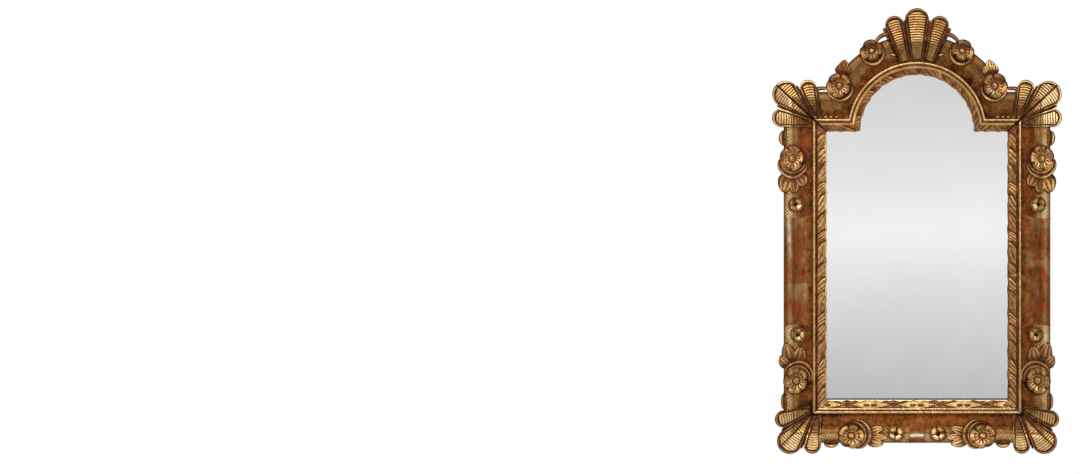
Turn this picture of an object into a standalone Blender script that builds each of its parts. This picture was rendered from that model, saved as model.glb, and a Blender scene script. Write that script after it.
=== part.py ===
"""Pier mirror: an arched frame of carved and gilded wood round a flat looking-glass.

Units are metres, +Z is up and the front faces -Y. The origin is the middle of the bottom
rail's back face, on the plane of the wall. A point of the frame is given by its outset u
from the sight edge, which is the visible edge of the glass, and its height h before the wall.
"""
import math

import bmesh
import bpy

OBJECT_NAME = "pier_mirror"

# Sight opening: a rectangle with a half-round arch standing on two level shoulders
SIGHT_HALF_WIDTH = 0.204
SIGHT_HEIGHT = 0.604
ARCH_RADIUS = 0.128
ARCH_STEPS = 20

# Section of the frame members
FACE_WIDTH = 0.095
CROWN_FACE_WIDTH = 0.088
FRAME_DEPTH = 0.052
TORUS_HALF_WIDTH = 0.013
TORUS_RISE = 0.014
COVE_HEIGHT = 0.028
COVE_POWER = 1.8
LEDGE_WIDTH = 0.031
LEDGE_HEIGHT = 0.018
REBATE_WIDTH = 0.009

# Sight moulding: a sloping leaf band, a groove and a bead, seated on the ledge
LIP_THICKNESS = 0.006
LEAF_BAND_WIDTH = 0.020
LEAF_BAND_RISE = 0.007
GROOVE_DEPTH = 0.003
BEAD_WIDTH = 0.007
BEAD_RISE = 0.004

# Gaps between pieces that touch
SEAM = 0.0003
MITRE_PULL = SEAM * math.sqrt(0.5)

# Glazing
BLOCK_LENGTH = 0.025
BLOCK_HEIGHT = 0.0024
BLOCK_PLACE = 0.110
GLASS_THICKNESS = 0.004
BOARD_THICKNESS = 0.008
BOARD_CLEARANCE = 0.001

# Carvings in general: how deep they sink, how far they fall and are cut under past the edge
CARVING_SINK = 0.004
CARVING_EDGE = 0.006
OVERHANG_DROOP = 0.20
UNDERCUT = 0.45
LOBE_COLUMNS = 6
LOBE_ROWS = 4
LOBE_ROW_MARGIN = 0.25
LOBE_EDGE = 0.0030
LOBE_BULGE = 0.0065
LOBE_BASE_SWELL = 0.45
LOBE_TIP_SWELL = 1.10
LOBE_TIP_ROUNDING = 0.45

# Crest shell: half lobes are (outer angle from the middle, tip radius)
CREST_DROP = 0.0594
CREST_FOOT = 0.0059
CREST_LOBES = ((9.5, 0.207), (23.7, 0.1966), (25.9, 0.181))

# Corner shells: lobes are (first angle, last angle, tip radius) from the outward level line
CORNER_BASE = 0.009
UPPER_CORNER_LOBES = ((-13.0, 17.0, 0.095), (17.0, 64.0, 0.114), (64.0, 98.0, 0.090))
LOWER_CORNER_LOBES = ((-4.0, 31.0, 0.088), (31.0, 76.0, 0.112), (76.0, 102.0, 0.096))

# Flowers: rings are (share of the radius, height as a share of the radius)
FLOWER_PETALS = 6
FLOWER_RADIUS = 0.030
BUD_PETALS = 5
BUD_RADIUS = 0.0175
PETAL_COLUMNS = 4
PETAL_NOTCH = 0.06
FLOWER_LEVEL_SHARE = 0.5
PETAL_VALLEY = 0.002
FLOWER_RINGS = ((0.0, 0.34), (0.25, 0.29), (0.38, 0.16), (0.75, 0.27), (1.0, 0.12))

# Places on the arch are (degrees from its top, outset)
ARCH_UPPER_FLOWER = (29.6, 0.0828)
ARCH_LOWER_FLOWER = (60.0, 0.0778)

# Places on the stiles are (outset, distance from the nearer end of the sight edge)
STILE_UPPER_FLOWER = (0.0735, 0.062)
STILE_UPPER_BUD = (0.067, 0.165)
STILE_LOWER_FLOWER = (0.0650, 0.045)
STILE_LOWER_BUD = (0.062, 0.148)

# Places on the bottom rail are (outset, distance from the sight corner)
BOTTOM_FLOWER = (0.0765, 0.057)
BOTTOM_BUD = (0.0725, 0.157)

# The curled leaf under a large flower, and the leaf spray that goes on from it
FLOWER_TAIL = 0.021
TAIL_SHARPNESS = 6
STILE_UPPER_TAIL_HEADING = 288.0
STILE_LOWER_TAIL_HEADING = 98.0
BOTTOM_TAIL_HEADING = 174.0
LEAF_GAP = 0.0012
LEAF_LOBES = ((8.0, 1.0), (25.0, 0.88))
LEAF_COLUMNS = 4
ARCH_LEAF_REACH = 0.0596
ARCH_LEAF_HEADING = 101.6
STILE_UPPER_LEAF_HEADING = 267.0
STILE_LOWER_LEAF_HEADING = 80.0
BOTTOM_LEAF_HEADING = 188.0

# C-scrolls along the outer edge, from beside a corner shell to the next flower
SCROLL_INSET = 0.006
SCROLL_BULGE = 0.0105
SCROLL_LIFT = 0.004
SCROLL_TUCK = 0.001
SCROLL_COLUMNS = 10
SCROLL_ROWS = 3
STILE_UPPER_SCROLL_START = -0.001
STILE_LOWER_SCROLL_START = -0.0185
BOTTOM_SCROLL_START = -0.0045

# Tendrils that bridge from a shell to the next flower, clear of the frame's edge.
# Roots are (angle, radius) in the shell, and headings say where on the flower the tip ends.
TENDRIL_HALF_WIDTH = 0.0035
TENDRIL_DEPTH = 0.010
TENDRIL_COLUMNS = 8
TENDRIL_BOW = 0.009
TENDRIL_TIP_GAP = 0.0008
CREST_TENDRIL_ROOT = (24.0, 0.162)
CREST_TENDRIL_HEADING = 112.0
CORNER_TENDRIL_ROOT = (94.0, 0.070)
CORNER_TENDRIL_HEADING = -2.0

# Strap hangers with D-rings, two screws each
HANGER_OUTSET = 0.052
HANGER_DROP = 0.060
STRAP_WIDTH = 0.019
STRAP_SHEET = 0.0015
STRAP_END = 0.008
EYE_CLEARANCE = 0.0003
EYE_STEPS = 20
RING_WIRE_RADIUS = 0.002
RING_SIDE_PLAY = 0.003
RING_REACH = 0.018
RING_STEPS = 14
SCREW_MARGIN = 0.0035
SCREW_PITCH = 0.015
SCREW_HEAD_RADIUS = 0.0035
SCREW_HEAD_HEIGHT = 0.0022
SCREW_CROWN_RADIUS = 0.0024
SCREW_SHANK_RADIUS = 0.0016
SCREW_LENGTH = 0.014
SCREW_POINT = 0.003
SCREW_STEPS = 12

# Derived places
CROWN_SCALE = CROWN_FACE_WIDTH / FACE_WIDTH
SIGHT_BOTTOM = (FACE_WIDTH + REBATE_WIDTH) / 2
SPRINGING = SIGHT_BOTTOM + SIGHT_HEIGHT
TORUS_CREST = FACE_WIDTH - TORUS_HALF_WIDTH
TORUS_SPRING = FRAME_DEPTH - TORUS_RISE
TORUS_STEPS = 5
COVE_STEPS = 4
COVE_END_ANGLE = math.radians(150)
COVE_END = TORUS_CREST + TORUS_HALF_WIDTH * math.cos(COVE_END_ANGLE)
COVE_END_HEIGHT = TORUS_SPRING + TORUS_RISE * math.sin(COVE_END_ANGLE)
GLASS_OVERLAP = REBATE_WIDTH - BLOCK_HEIGHT - 2 * SEAM
BOARD_OVERLAP = REBATE_WIDTH - BOARD_CLEARANCE
CREST_CENTRE = (0.0, SPRINGING + ARCH_RADIUS - CREST_DROP)
CREST_BASE = CREST_DROP + CREST_FOOT + LEDGE_WIDTH * CROWN_SCALE
CORNER_OUTSET = LEDGE_WIDTH - BEAD_WIDTH / 2
RING_HALF_WIDTH = STRAP_WIDTH / 2 + RING_SIDE_PLAY + RING_WIRE_RADIUS
UPPER_SCREW_DROP = RING_REACH + RING_WIRE_RADIUS + SCREW_MARGIN + SCREW_HEAD_RADIUS
LOWER_SCREW_DROP = UPPER_SCREW_DROP + SCREW_PITCH
STRAP_LENGTH = LOWER_SCREW_DROP + STRAP_END
SIDES = (("left", -1), ("right", 1))
SMOOTH_ANGLE = math.radians(38)
MERGE = 0.00001

# Finishes: base colour, metallic and roughness
FINISHES = {
    "gilt_frame": ((0.48, 0.27, 0.08, 1), 0.6, 0.42),
    "gilt_carving": ((0.55, 0.31, 0.10, 1), 0.6, 0.38),
    "looking_glass": ((0.86, 0.87, 0.87, 1), 1.0, 0.03),
    "back_wood": ((0.22, 0.13, 0.07, 1), 0.0, 0.8),
    "hanger_iron": ((0.16, 0.15, 0.14, 1), 0.9, 0.5),
}


def start_scene():
    """Empty the scene and make one collection for the parts and one for the cutters."""
    for item in list(bpy.data.objects):
        bpy.data.objects.remove(item)
    collections = []
    for name in (OBJECT_NAME, OBJECT_NAME + "_cutters"):
        collection = bpy.data.collections.new(name)
        bpy.context.scene.collection.children.link(collection)
        collections.append(collection)
    return collections


PARTS, CUTTERS = start_scene()


def finish_material(node, finish):
    """Make the node's own material."""
    colour, metallic, roughness = FINISHES[finish]
    material = bpy.data.materials.new(node + "_finish")
    material.use_nodes = True
    shader = material.node_tree.nodes["Principled BSDF"]
    shader.inputs["Base Color"].default_value = colour
    shader.inputs["Metallic"].default_value = metallic
    shader.inputs["Roughness"].default_value = roughness
    return material


def add_part(node, data, finish):
    """Link a mesh or curve as a named part with its material."""
    part = bpy.data.objects.new(node, data)
    PARTS.objects.link(part)
    data.materials.append(finish_material(node, finish))
    if isinstance(data, bpy.types.Mesh):
        data.shade_smooth()
        data.set_sharp_from_angle(angle=SMOOTH_ANGLE)
    return part


def add_cutter(name, data):
    """Link a shape that only cuts or joins others."""
    cutter = bpy.data.objects.new(name, data)
    CUTTERS.objects.link(cutter)
    cutter.hide_render = True
    cutter.display_type = "WIRE"
    return cutter


def add_boolean(part, other, operation):
    """Cut the part with another object, or join that to it."""
    modifier = part.modifiers.new(other.name, "BOOLEAN")
    modifier.object = other
    modifier.operation = operation
    modifier.solver = "EXACT"


def mesh_from(bm, name):
    """Turn the faces outwards and make a mesh of them."""
    bmesh.ops.recalc_face_normals(bm, faces=bm.faces[:])
    mesh = bpy.data.meshes.new(name)
    bm.to_mesh(mesh)
    bm.free()
    return mesh


def mesh_from_curve(curve_object):
    """Replace a curve object by a welded mesh at the same place."""
    graph = bpy.context.evaluated_depsgraph_get()
    mesh = bpy.data.meshes.new_from_object(curve_object.evaluated_get(graph))
    matrix = curve_object.matrix_world.copy()
    bm = bmesh.new()
    bm.from_mesh(mesh)
    bmesh.ops.remove_doubles(bm, verts=bm.verts[:], dist=MERGE)
    bm.transform(matrix)
    bpy.data.objects.remove(curve_object)
    return mesh_from(bm, mesh.name)


# The frame's section and the lines along which it runs

def face_height(u):
    """Height of the members' face: a cove that rises to a torus along the outer edge."""
    if u >= COVE_END:
        share = min(1.0, abs(u - TORUS_CREST) / TORUS_HALF_WIDTH)
        return TORUS_SPRING + TORUS_RISE * math.sqrt(1 - share * share)
    share = max(0.0, u - LEDGE_WIDTH) / (COVE_END - LEDGE_WIDTH)
    return COVE_HEIGHT + (COVE_END_HEIGHT - COVE_HEIGHT) * share ** COVE_POWER


def member_section():
    """Outline of a frame member as (u, h) points, from the back round over the face."""
    points = [(REBATE_WIDTH, 0.0), (FACE_WIDTH, 0.0)]
    for step in range(TORUS_STEPS + 1):
        angle = COVE_END_ANGLE * step / TORUS_STEPS
        points.append((
            TORUS_CREST + TORUS_HALF_WIDTH * math.cos(angle),
            TORUS_SPRING + TORUS_RISE * math.sin(angle),
        ))
    for step in range(1, COVE_STEPS + 1):
        u = COVE_END + (LEDGE_WIDTH - COVE_END) * step / COVE_STEPS
        points.append((u, face_height(u)))
    points.append((LEDGE_WIDTH, LEDGE_HEIGHT))
    points.append((REBATE_WIDTH, LEDGE_HEIGHT))
    return points


def moulding_section():
    """Outline of the sight moulding: lip, leaf band, groove and bead."""
    seat = LEDGE_HEIGHT + SEAM
    lip = seat + LIP_THICKNESS
    band_top = lip + LEAF_BAND_RISE
    outer = LEDGE_WIDTH - SEAM
    bead_start = outer - BEAD_WIDTH
    groove = band_top - GROOVE_DEPTH
    points = [(0.0, seat), (outer, seat)]
    for degrees in range(0, 181, 45):
        angle = math.radians(degrees)
        points.append((
            bead_start + BEAD_WIDTH / 2 * (1 + math.cos(angle)),
            groove + GROOVE_DEPTH / 2 + BEAD_RISE * math.sin(angle),
        ))
    points.append((bead_start - SEAM, groove))
    points.append((LEAF_BAND_WIDTH, groove))
    points.append((LEAF_BAND_WIDTH, band_top))
    points.append((0.0, lip))
    return points


def grow_section(points, distance):
    """Move an outline outwards by a distance, square to its sides."""
    grown = []
    for index, (u, h) in enumerate(points):
        before = points[index - 1]
        after = points[(index + 1) % len(points)]
        first = math.atan2(h - before[1], u - before[0])
        last = math.atan2(after[1] - h, after[0] - u)
        turn = math.remainder(last - first, 2 * math.pi)
        reach = distance / math.cos(turn / 2)
        normal = first + turn / 2 - math.pi / 2
        grown.append((u + reach * math.cos(normal), h + reach * math.sin(normal)))
    return grown


def crown_run(u, pull):
    """Line at outset u over the shoulders and the arch, from the left mitre to the right."""
    offset = u * CROWN_SCALE
    radius = ARCH_RADIUS + offset
    start = math.asin(offset / radius)
    level = SPRINGING + offset
    end = SIGHT_HALF_WIDTH + u - pull
    points = [(-end, level)]
    for step in range(ARCH_STEPS + 1):
        angle = math.pi - start - (math.pi - 2 * start) * step / ARCH_STEPS
        points.append((radius * math.cos(angle), SPRINGING + radius * math.sin(angle)))
    points.append((end, level))
    return points


def stile_run(u, side):
    """Line at outset u up one stile, from mitre to mitre."""
    x = side * (SIGHT_HALF_WIDTH + u)
    return [(x, SIGHT_BOTTOM - u + MITRE_PULL), (x, SPRINGING + u * CROWN_SCALE - MITRE_PULL)]


def bottom_run(u):
    """Line at outset u along the bottom rail."""
    end = SIGHT_HALF_WIDTH + u - MITRE_PULL
    return [(-end, SIGHT_BOTTOM - u), (end, SIGHT_BOTTOM - u)]


def ring_run(u):
    """Closed line at outset u round the whole opening."""
    end = SIGHT_HALF_WIDTH + u
    return crown_run(u, 0.0) + [(end, SIGHT_BOTTOM - u), (-end, SIGHT_BOTTOM - u)]


def loft(name, section, run, closed=False):
    """Sweep a section along its run: every point of the section follows its own line."""
    lines = [run(u) for u, h in section]
    if closed:
        lines = [line + line[:1] for line in lines]
    columns = len(section)
    rows = len(lines[0]) - 1
    bm = bmesh.new()
    bmesh.ops.create_grid(bm, x_segments=columns, y_segments=rows, size=0.5)
    for vert in bm.verts:
        column = round((vert.co.x + 0.5) * columns) % columns
        x, z = lines[column][round((vert.co.y + 0.5) * rows)]
        vert.co = (x, -section[column][1], z)
    bmesh.ops.remove_doubles(bm, verts=bm.verts[:], dist=MERGE)
    bmesh.ops.holes_fill(bm, edges=[edge for edge in bm.edges if edge.is_boundary])
    return mesh_from(bm, name)


# Carvings: grids laid on the frame's face, thickened to the back and cut to their seat

def outset_at(x, z):
    """Outset of a point seen from the front."""
    outset = max(abs(x) - SIGHT_HALF_WIDTH, SIGHT_BOTTOM - z)
    rise = z - SPRINGING
    if rise > 0:
        outset = max(outset, min(rise, math.hypot(x, rise) - ARCH_RADIUS) / CROWN_SCALE)
    return outset


def carving_ground(x, z):
    """Height that a carving is laid on: the face, running on past the outer edge."""
    u = outset_at(x, z)
    if u > TORUS_CREST:
        return FRAME_DEPTH - OVERHANG_DROOP * (u - TORUS_CREST)
    return face_height(u)


def carving_back(x, z):
    """Height of a carving's back, undercut where it overhangs the edge but always behind its front."""
    over = outset_at(x, z) - FACE_WIDTH
    if over < 0:
        return COVE_HEIGHT - CARVING_SINK
    return min(COVE_HEIGHT - CARVING_SINK + UNDERCUT * over, carving_ground(x, z) - CARVING_EDGE)


def carve(name, columns, rows, place, lift, depth=None, level=0.0):
    """Make a carving: place maps column and row to x and z, lift is its height there.

    A depth makes a strip clear of the ground, and a level is the height a flower is flattened to.
    """
    bm = bmesh.new()
    bmesh.ops.create_grid(bm, x_segments=columns, y_segments=rows, size=0.5)
    for vert in bm.verts:
        column = round((vert.co.x + 0.5) * columns)
        row = round((vert.co.y + 0.5) * rows)
        x, z = place(column, row)
        ground = carving_ground(x, z)
        ground += FLOWER_LEVEL_SHARE * max(0.0, level - ground)
        vert.co = (x, -ground - lift(column, row), z)
    bmesh.ops.remove_doubles(bm, verts=bm.verts[:], dist=MERGE)
    thick = bmesh.ops.extrude_face_region(bm, geom=bm.faces[:])
    for vert in thick["geom"]:
        if isinstance(vert, bmesh.types.BMVert):
            if depth is None:
                vert.co.y = -carving_back(vert.co.x, vert.co.z)
            else:
                vert.co.y += depth
    return mesh_from(bm, name)


def arch_point(place):
    """Point on the arch, given by degrees from its top and outset."""
    angle = math.radians(place[0])
    radius = ARCH_RADIUS + place[1] * CROWN_SCALE
    return radius * math.sin(angle), SPRINGING + radius * math.cos(angle)


def upper_stile_point(place):
    """Point on the right stile, given by outset and distance below the springing line."""
    return SIGHT_HALF_WIDTH + place[0], SPRINGING - place[1]


def lower_stile_point(place):
    """Point on the right stile, given by outset and distance above the bottom sight edge."""
    return SIGHT_HALF_WIDTH + place[0], SIGHT_BOTTOM + place[1]


def bottom_point(place):
    """Point on the bottom rail, given by outset and distance in from the right sight corner."""
    return SIGHT_HALF_WIDTH - place[1], SIGHT_BOTTOM - place[0]


def polar(centre, degrees, radius):
    """Point at a heading and distance from another."""
    angle = math.radians(degrees)
    return centre[0] + radius * math.cos(angle), centre[1] + radius * math.sin(angle)


def mirrored_lobes(halves, reach=1.0):
    """Whole lobes from half lobes that are listed from the middle outwards."""
    lobes = [(-halves[0][0], halves[0][0], halves[0][1] * reach)]
    for inner, outer in zip(halves, halves[1:]):
        lobes.append((inner[0], outer[0], outer[1] * reach))
        lobes.insert(0, (-outer[0], -inner[0], outer[1] * reach))
    return lobes


def lobe_share(lobe, angle):
    """Place of an angle across a lobe, from -1 to 1."""
    return (2 * angle - lobe[0] - lobe[1]) / (lobe[1] - lobe[0])


def lobe_rim(lobe, angle):
    """Radius of a lobe's rounded end: an arc that both straight sides run into."""
    half = math.radians(lobe[1] - lobe[0]) / 2
    reach = lobe[2] / (1 + math.sin(half))
    away = min(1.0, abs(lobe_share(lobe, angle))) * half
    return reach * (math.cos(away) + math.sqrt(math.sin(half) ** 2 - math.sin(away) ** 2))


def crest_radius(centre, heading, base, rim):
    """Radius of a fan's middle row: on the crest of the torus, where that lies well inside the fan."""
    low = base
    high = rim
    while high - low > SEAM:
        middle = (low + high) / 2
        if outset_at(*polar(centre, heading, middle)) < TORUS_CREST:
            low = middle
        else:
            high = middle
    margin = LOBE_ROW_MARGIN * (rim - base)
    return min(max(low, base + margin), rim - margin)


def fan(name, centre, base, lobes, turn, side=1, limits=(-360, 360), columns=LOBE_COLUMNS):
    """Carve lobes that spread from one point, kept between two limiting angles."""
    shown = [lobe for lobe in lobes if lobe[1] > limits[0] and lobe[0] < limits[1]]
    angles = []
    for lobe in shown:
        first = max(lobe[0], limits[0])
        last = min(lobe[1], limits[1])
        angles += [first + (last - first) * step / columns for step in range(columns)]
    angles.append(last)

    def lobes_at(angle):
        return [lobe for lobe in shown if abs(lobe_share(lobe, angle)) < 1 + MERGE]

    def place(column, row):
        angle = angles[column]
        rim = min(lobe_rim(lobe, angle) for lobe in lobes_at(angle))
        heading = turn[0] + turn[1] * angle
        crest = crest_radius(centre, heading, base, rim)
        middle_row = LOBE_ROWS // 2
        if row <= middle_row:
            radius = base + (crest - base) * row / middle_row
        else:
            radius = crest + (rim - crest) * (row - middle_row) / (LOBE_ROWS - middle_row)
        x, z = polar(centre, heading, radius)
        return side * x, z

    def lift(column, row):
        share = min(1.0, abs(lobe_share(lobes_at(angles[column])[0], angles[column])))
        along = row / LOBE_ROWS
        swell = LOBE_BASE_SWELL + (LOBE_TIP_SWELL - LOBE_BASE_SWELL) * along
        swell *= 1 - LOBE_TIP_ROUNDING * along ** 6
        return LOBE_EDGE + LOBE_BULGE * (1 - share * share) * swell

    return carve(name, len(angles) - 1, LOBE_ROWS, place, lift)


def rosette(name, centre, radius, petals, side, tail=0.0, tail_heading=0.0):
    """Carve a flower: a boss, a groove round it and a ring of petals, with a curled leaf below."""
    columns = petals * PETAL_COLUMNS
    last = len(FLOWER_RINGS) - 1
    petal_rows = (last - 1, last)

    def valley(column):
        return math.cos(math.pi * column / PETAL_COLUMNS) ** 2

    def place(column, row):
        heading = 360 * column / columns
        toward = max(0.0, math.cos(math.radians(heading - tail_heading))) ** TAIL_SHARPNESS
        rim = radius * (1 - PETAL_NOTCH * valley(column))
        if row == last:
            rim += tail * toward
        x, z = polar(centre, heading, rim * FLOWER_RINGS[row][0])
        return side * x, z

    def lift(column, row):
        notch = PETAL_VALLEY * valley(column) if row in petal_rows else 0.0
        return radius * FLOWER_RINGS[row][1] - notch

    return carve(name, columns, last, place, lift, level=carving_ground(*centre))


def bend(points, share):
    """Point on a curve drawn by its start, its pull and its end."""
    start, pull, end = points
    rest = 1 - share
    return tuple(
        rest * rest * start[axis] + 2 * rest * share * pull[axis] + share * share * end[axis]
        for axis in (0, 1)
    )


def tendril(name, root, tip, side):
    """Carve a bowed strip between two ornaments, free of the ground below it."""
    middle = ((root[0] + tip[0]) / 2, (root[1] + tip[1]) / 2)
    away = math.atan2(middle[1] - SPRINGING, middle[0])
    points = (root, polar(middle, math.degrees(away), TENDRIL_BOW), tip)

    def place(column, row):
        share = column / TENDRIL_COLUMNS
        x, z = bend(points, share)
        ahead = bend(points, share + MERGE)
        heading = math.atan2(ahead[1] - z, ahead[0] - x)
        out = TENDRIL_HALF_WIDTH * (row - 1)
        return side * (x - out * math.sin(heading)), z + out * math.cos(heading)

    def lift(column, row):
        return 0.0 if row == 1 else -TENDRIL_HALF_WIDTH / 2

    return carve(name, TENDRIL_COLUMNS, 2, place, lift, TENDRIL_DEPTH)


def scroll(name, point_at, ends, side):
    """Carve a C-scroll that swells from the outer edge between two places along it."""
    def place(column, row):
        share = column / SCROLL_COLUMNS
        along = ends[0] + (ends[1] - ends[0]) * share
        swell = SCROLL_BULGE * math.sqrt(math.sin(math.pi * share))
        u = FACE_WIDTH - SCROLL_INSET + (SCROLL_INSET + swell) * row / SCROLL_ROWS
        x, z = point_at((u, along))
        return side * x, z

    def lift(column, row):
        return SCROLL_LIFT * math.sin(math.pi * (row + 0.5) / (SCROLL_ROWS + 1))

    return carve(name, SCROLL_COLUMNS, SCROLL_ROWS, place, lift)


def make_members():
    """The two stiles, the bottom rail and the arched top rail, mitred at the corners."""
    section = member_section()
    add_part("arch_rail", loft("arch_rail", section, lambda u: crown_run(u, MITRE_PULL)), "gilt_frame")
    add_part("bottom_rail", loft("bottom_rail", section, bottom_run), "gilt_frame")
    for label, side in SIDES:
        node = label + "_stile"
        add_part(node, loft(node, section, lambda u: stile_run(u, side)), "gilt_frame")


def make_sight_mouldings():
    """The bead and leaf band round the glass, one strip on each member's ledge."""
    section = moulding_section()
    node = "arch_sight_moulding"
    add_part(node, loft(node, section, lambda u: crown_run(u, MITRE_PULL)), "gilt_carving")
    node = "bottom_sight_moulding"
    add_part(node, loft(node, section, bottom_run), "gilt_carving")
    for label, side in SIDES:
        node = label + "_sight_moulding"
        add_part(node, loft(node, section, lambda u: stile_run(u, side)), "gilt_carving")


def add_carving(node, mesh, seat):
    """Link a carving and cut it to the face that it is glued on."""
    part = add_part(node, mesh, "gilt_carving")
    add_boolean(part, seat, "DIFFERENCE")
    return part


def join_tendril(part, root, flower, heading, side):
    """Join a tendril to the shell that carries it, with its tip just clear of a flower."""
    name = part.name + "_tendril_" + ("right" if side > 0 else "left")
    tip = polar(flower, heading, FLOWER_RADIUS + TENDRIL_TIP_GAP)
    cutter = add_cutter(name, tendril(name, root, tip, side))
    add_boolean(part, cutter, "UNION")


def make_crest(seat):
    """The shell that crowns the arch, with a tendril to the flower on each side."""
    lobes = mirrored_lobes(CREST_LOBES)
    mesh = fan("crest_shell", CREST_CENTRE, CREST_BASE, lobes, (90, 1))
    crest = add_part("crest_shell", mesh, "gilt_carving")
    root = polar(CREST_CENTRE, 90 - CREST_TENDRIL_ROOT[0], CREST_TENDRIL_ROOT[1])
    for label, side in SIDES:
        join_tendril(crest, root, arch_point(ARCH_UPPER_FLOWER), CREST_TENDRIL_HEADING, side)
    add_boolean(crest, seat, "DIFFERENCE")


def make_corner_shells(seat):
    """The corner shells, each in two halves that part at the mitre."""
    corners = (
        ("upper", SPRINGING + CORNER_OUTSET * CROWN_SCALE, 1, UPPER_CORNER_LOBES, CROWN_SCALE),
        ("lower", SIGHT_BOTTOM - CORNER_OUTSET, -1, LOWER_CORNER_LOBES, 1.0),
    )
    for label, side in SIDES:
        for level, height, way, lobes, slope in corners:
            mitre = math.degrees(math.atan(slope))
            halves = (("stile", (-360, mitre), -90), ("rail", (mitre, 360), 90))
            for member, limits, off in halves:
                node = "_".join((level, label, "corner_shell", member))
                corner = (SIGHT_HALF_WIDTH + CORNER_OUTSET, height)
                centre = polar(corner, way * (mitre + off), SEAM / 2)
                mesh = fan(node, centre, CORNER_BASE, lobes, (0, way), side, limits)
                part = add_part(node, mesh, "gilt_carving")
                if level == "upper" and member == "rail":
                    root = polar(centre, *CORNER_TENDRIL_ROOT)
                    join_tendril(part, root, arch_point(ARCH_LOWER_FLOWER), CORNER_TENDRIL_HEADING, side)
                add_boolean(part, seat, "DIFFERENCE")


def add_leaf(node, flower, tail, heading, reach, side, seat):
    """A leaf spray that starts round the rim of its flower."""
    base = FLOWER_RADIUS + tail + LEAF_GAP
    lobes = mirrored_lobes(LEAF_LOBES, reach)
    mesh = fan(node, flower, base, lobes, (heading, 1), side, columns=LEAF_COLUMNS)
    add_carving(node, mesh, seat)


def make_arch_flowers(seat):
    """Two large flowers on each side of the arch, the lower one with a leaf."""
    for label, side in SIDES:
        for level, place in (("upper", ARCH_UPPER_FLOWER), ("lower", ARCH_LOWER_FLOWER)):
            node = "_".join((label, "arch", level, "flower"))
            mesh = rosette(node, arch_point(place), FLOWER_RADIUS, FLOWER_PETALS, side)
            add_carving(node, mesh, seat)
        flower = arch_point(ARCH_LOWER_FLOWER)
        node = label + "_arch_lower_leaf"
        add_leaf(node, flower, 0.0, ARCH_LEAF_HEADING, ARCH_LEAF_REACH, side, seat)


def make_side_groups(seat):
    """On the stiles and the bottom rail: scroll, large flower, leaf spray and small flower in line."""
    groups = (
        (
            "stile_upper", upper_stile_point, STILE_UPPER_FLOWER, STILE_UPPER_BUD,
            STILE_UPPER_TAIL_HEADING, STILE_UPPER_LEAF_HEADING, STILE_UPPER_SCROLL_START,
        ),
        (
            "stile_lower", lower_stile_point, STILE_LOWER_FLOWER, STILE_LOWER_BUD,
            STILE_LOWER_TAIL_HEADING, STILE_LOWER_LEAF_HEADING, STILE_LOWER_SCROLL_START,
        ),
        (
            "bottom", bottom_point, BOTTOM_FLOWER, BOTTOM_BUD,
            BOTTOM_TAIL_HEADING, BOTTOM_LEAF_HEADING, BOTTOM_SCROLL_START,
        ),
    )
    for label, side in SIDES:
        for group, point_at, flower_place, bud_place, tail_heading, leaf_heading, start in groups:
            stem = label + "_" + group
            flower = point_at(flower_place)
            bud = point_at(bud_place)
            mesh = rosette(
                stem + "_flower", flower, FLOWER_RADIUS, FLOWER_PETALS, side, FLOWER_TAIL, tail_heading
            )
            add_carving(stem + "_flower", mesh, seat)
            reach = math.dist(flower, bud) - BUD_RADIUS - LEAF_GAP
            add_leaf(stem + "_leaf", flower, FLOWER_TAIL, leaf_heading, reach, side, seat)
            add_carving(stem + "_bud", rosette(stem + "_bud", bud, BUD_RADIUS, BUD_PETALS, side), seat)
            ends = (start, flower_place[1] - FLOWER_RADIUS + SCROLL_TUCK)
            add_carving(stem + "_scroll", scroll(stem + "_scroll", point_at, ends, side), seat)


def add_plate(node, overlap, back, thickness, finish):
    """A flat plate that fills the opening and laps behind the sight edge."""
    curve = bpy.data.curves.new(node, "CURVE")
    curve.dimensions = "2D"
    curve.fill_mode = "BOTH"
    curve.extrude = thickness / 2
    points = ring_run(overlap)
    spline = curve.splines.new("POLY")
    spline.points.add(len(points) - 1)
    for point, (x, z) in zip(spline.points, points):
        point.co = (x, z, 0, 1)
    spline.use_cyclic_u = True
    outline = add_cutter(node + "_outline", curve)
    outline.rotation_euler = (math.pi / 2, 0, 0)
    outline.location = (0, -back - thickness / 2, 0)
    bpy.context.view_layer.update()
    add_part(node, mesh_from_curve(outline), finish)


def make_glazing():
    """The looking-glass on its setting blocks, and the backboard behind it."""
    glass_back = LEDGE_HEIGHT - GLASS_THICKNESS
    add_plate("mirror_glass", GLASS_OVERLAP, glass_back, GLASS_THICKNESS, "looking_glass")
    board_back = glass_back - SEAM - BOARD_THICKNESS
    add_plate("backboard", BOARD_OVERLAP, board_back, BOARD_THICKNESS, "back_wood")
    for label, side in SIDES:
        node = label + "_setting_block"
        bm = bmesh.new()
        bmesh.ops.create_cube(bm, size=1)
        bmesh.ops.scale(bm, vec=(BLOCK_LENGTH, GLASS_THICKNESS, BLOCK_HEIGHT), verts=bm.verts[:])
        block = add_part(node, mesh_from(bm, node), "back_wood")
        middle = SIGHT_BOTTOM - (REBATE_WIDTH + GLASS_OVERLAP) / 2
        block.location = (side * BLOCK_PLACE, -glass_back - GLASS_THICKNESS / 2, middle)


def hanger_pivot(side):
    """Middle of the strap's eye, behind the stile."""
    depth = SEAM + STRAP_SHEET + EYE_CLEARANCE + RING_WIRE_RADIUS
    return side * (SIGHT_HALF_WIDTH + HANGER_OUTSET), depth, SPRINGING - HANGER_DROP


def cylinder(name, radius, length, place):
    """A round cutter along Y."""
    bm = bmesh.new()
    bmesh.ops.create_cone(
        bm, cap_ends=True, segments=SCREW_STEPS, radius1=radius, radius2=radius, depth=length
    )
    cutter = add_cutter(name, mesh_from(bm, name))
    cutter.rotation_euler = (math.pi / 2, 0, 0)
    cutter.location = place
    return cutter


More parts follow.
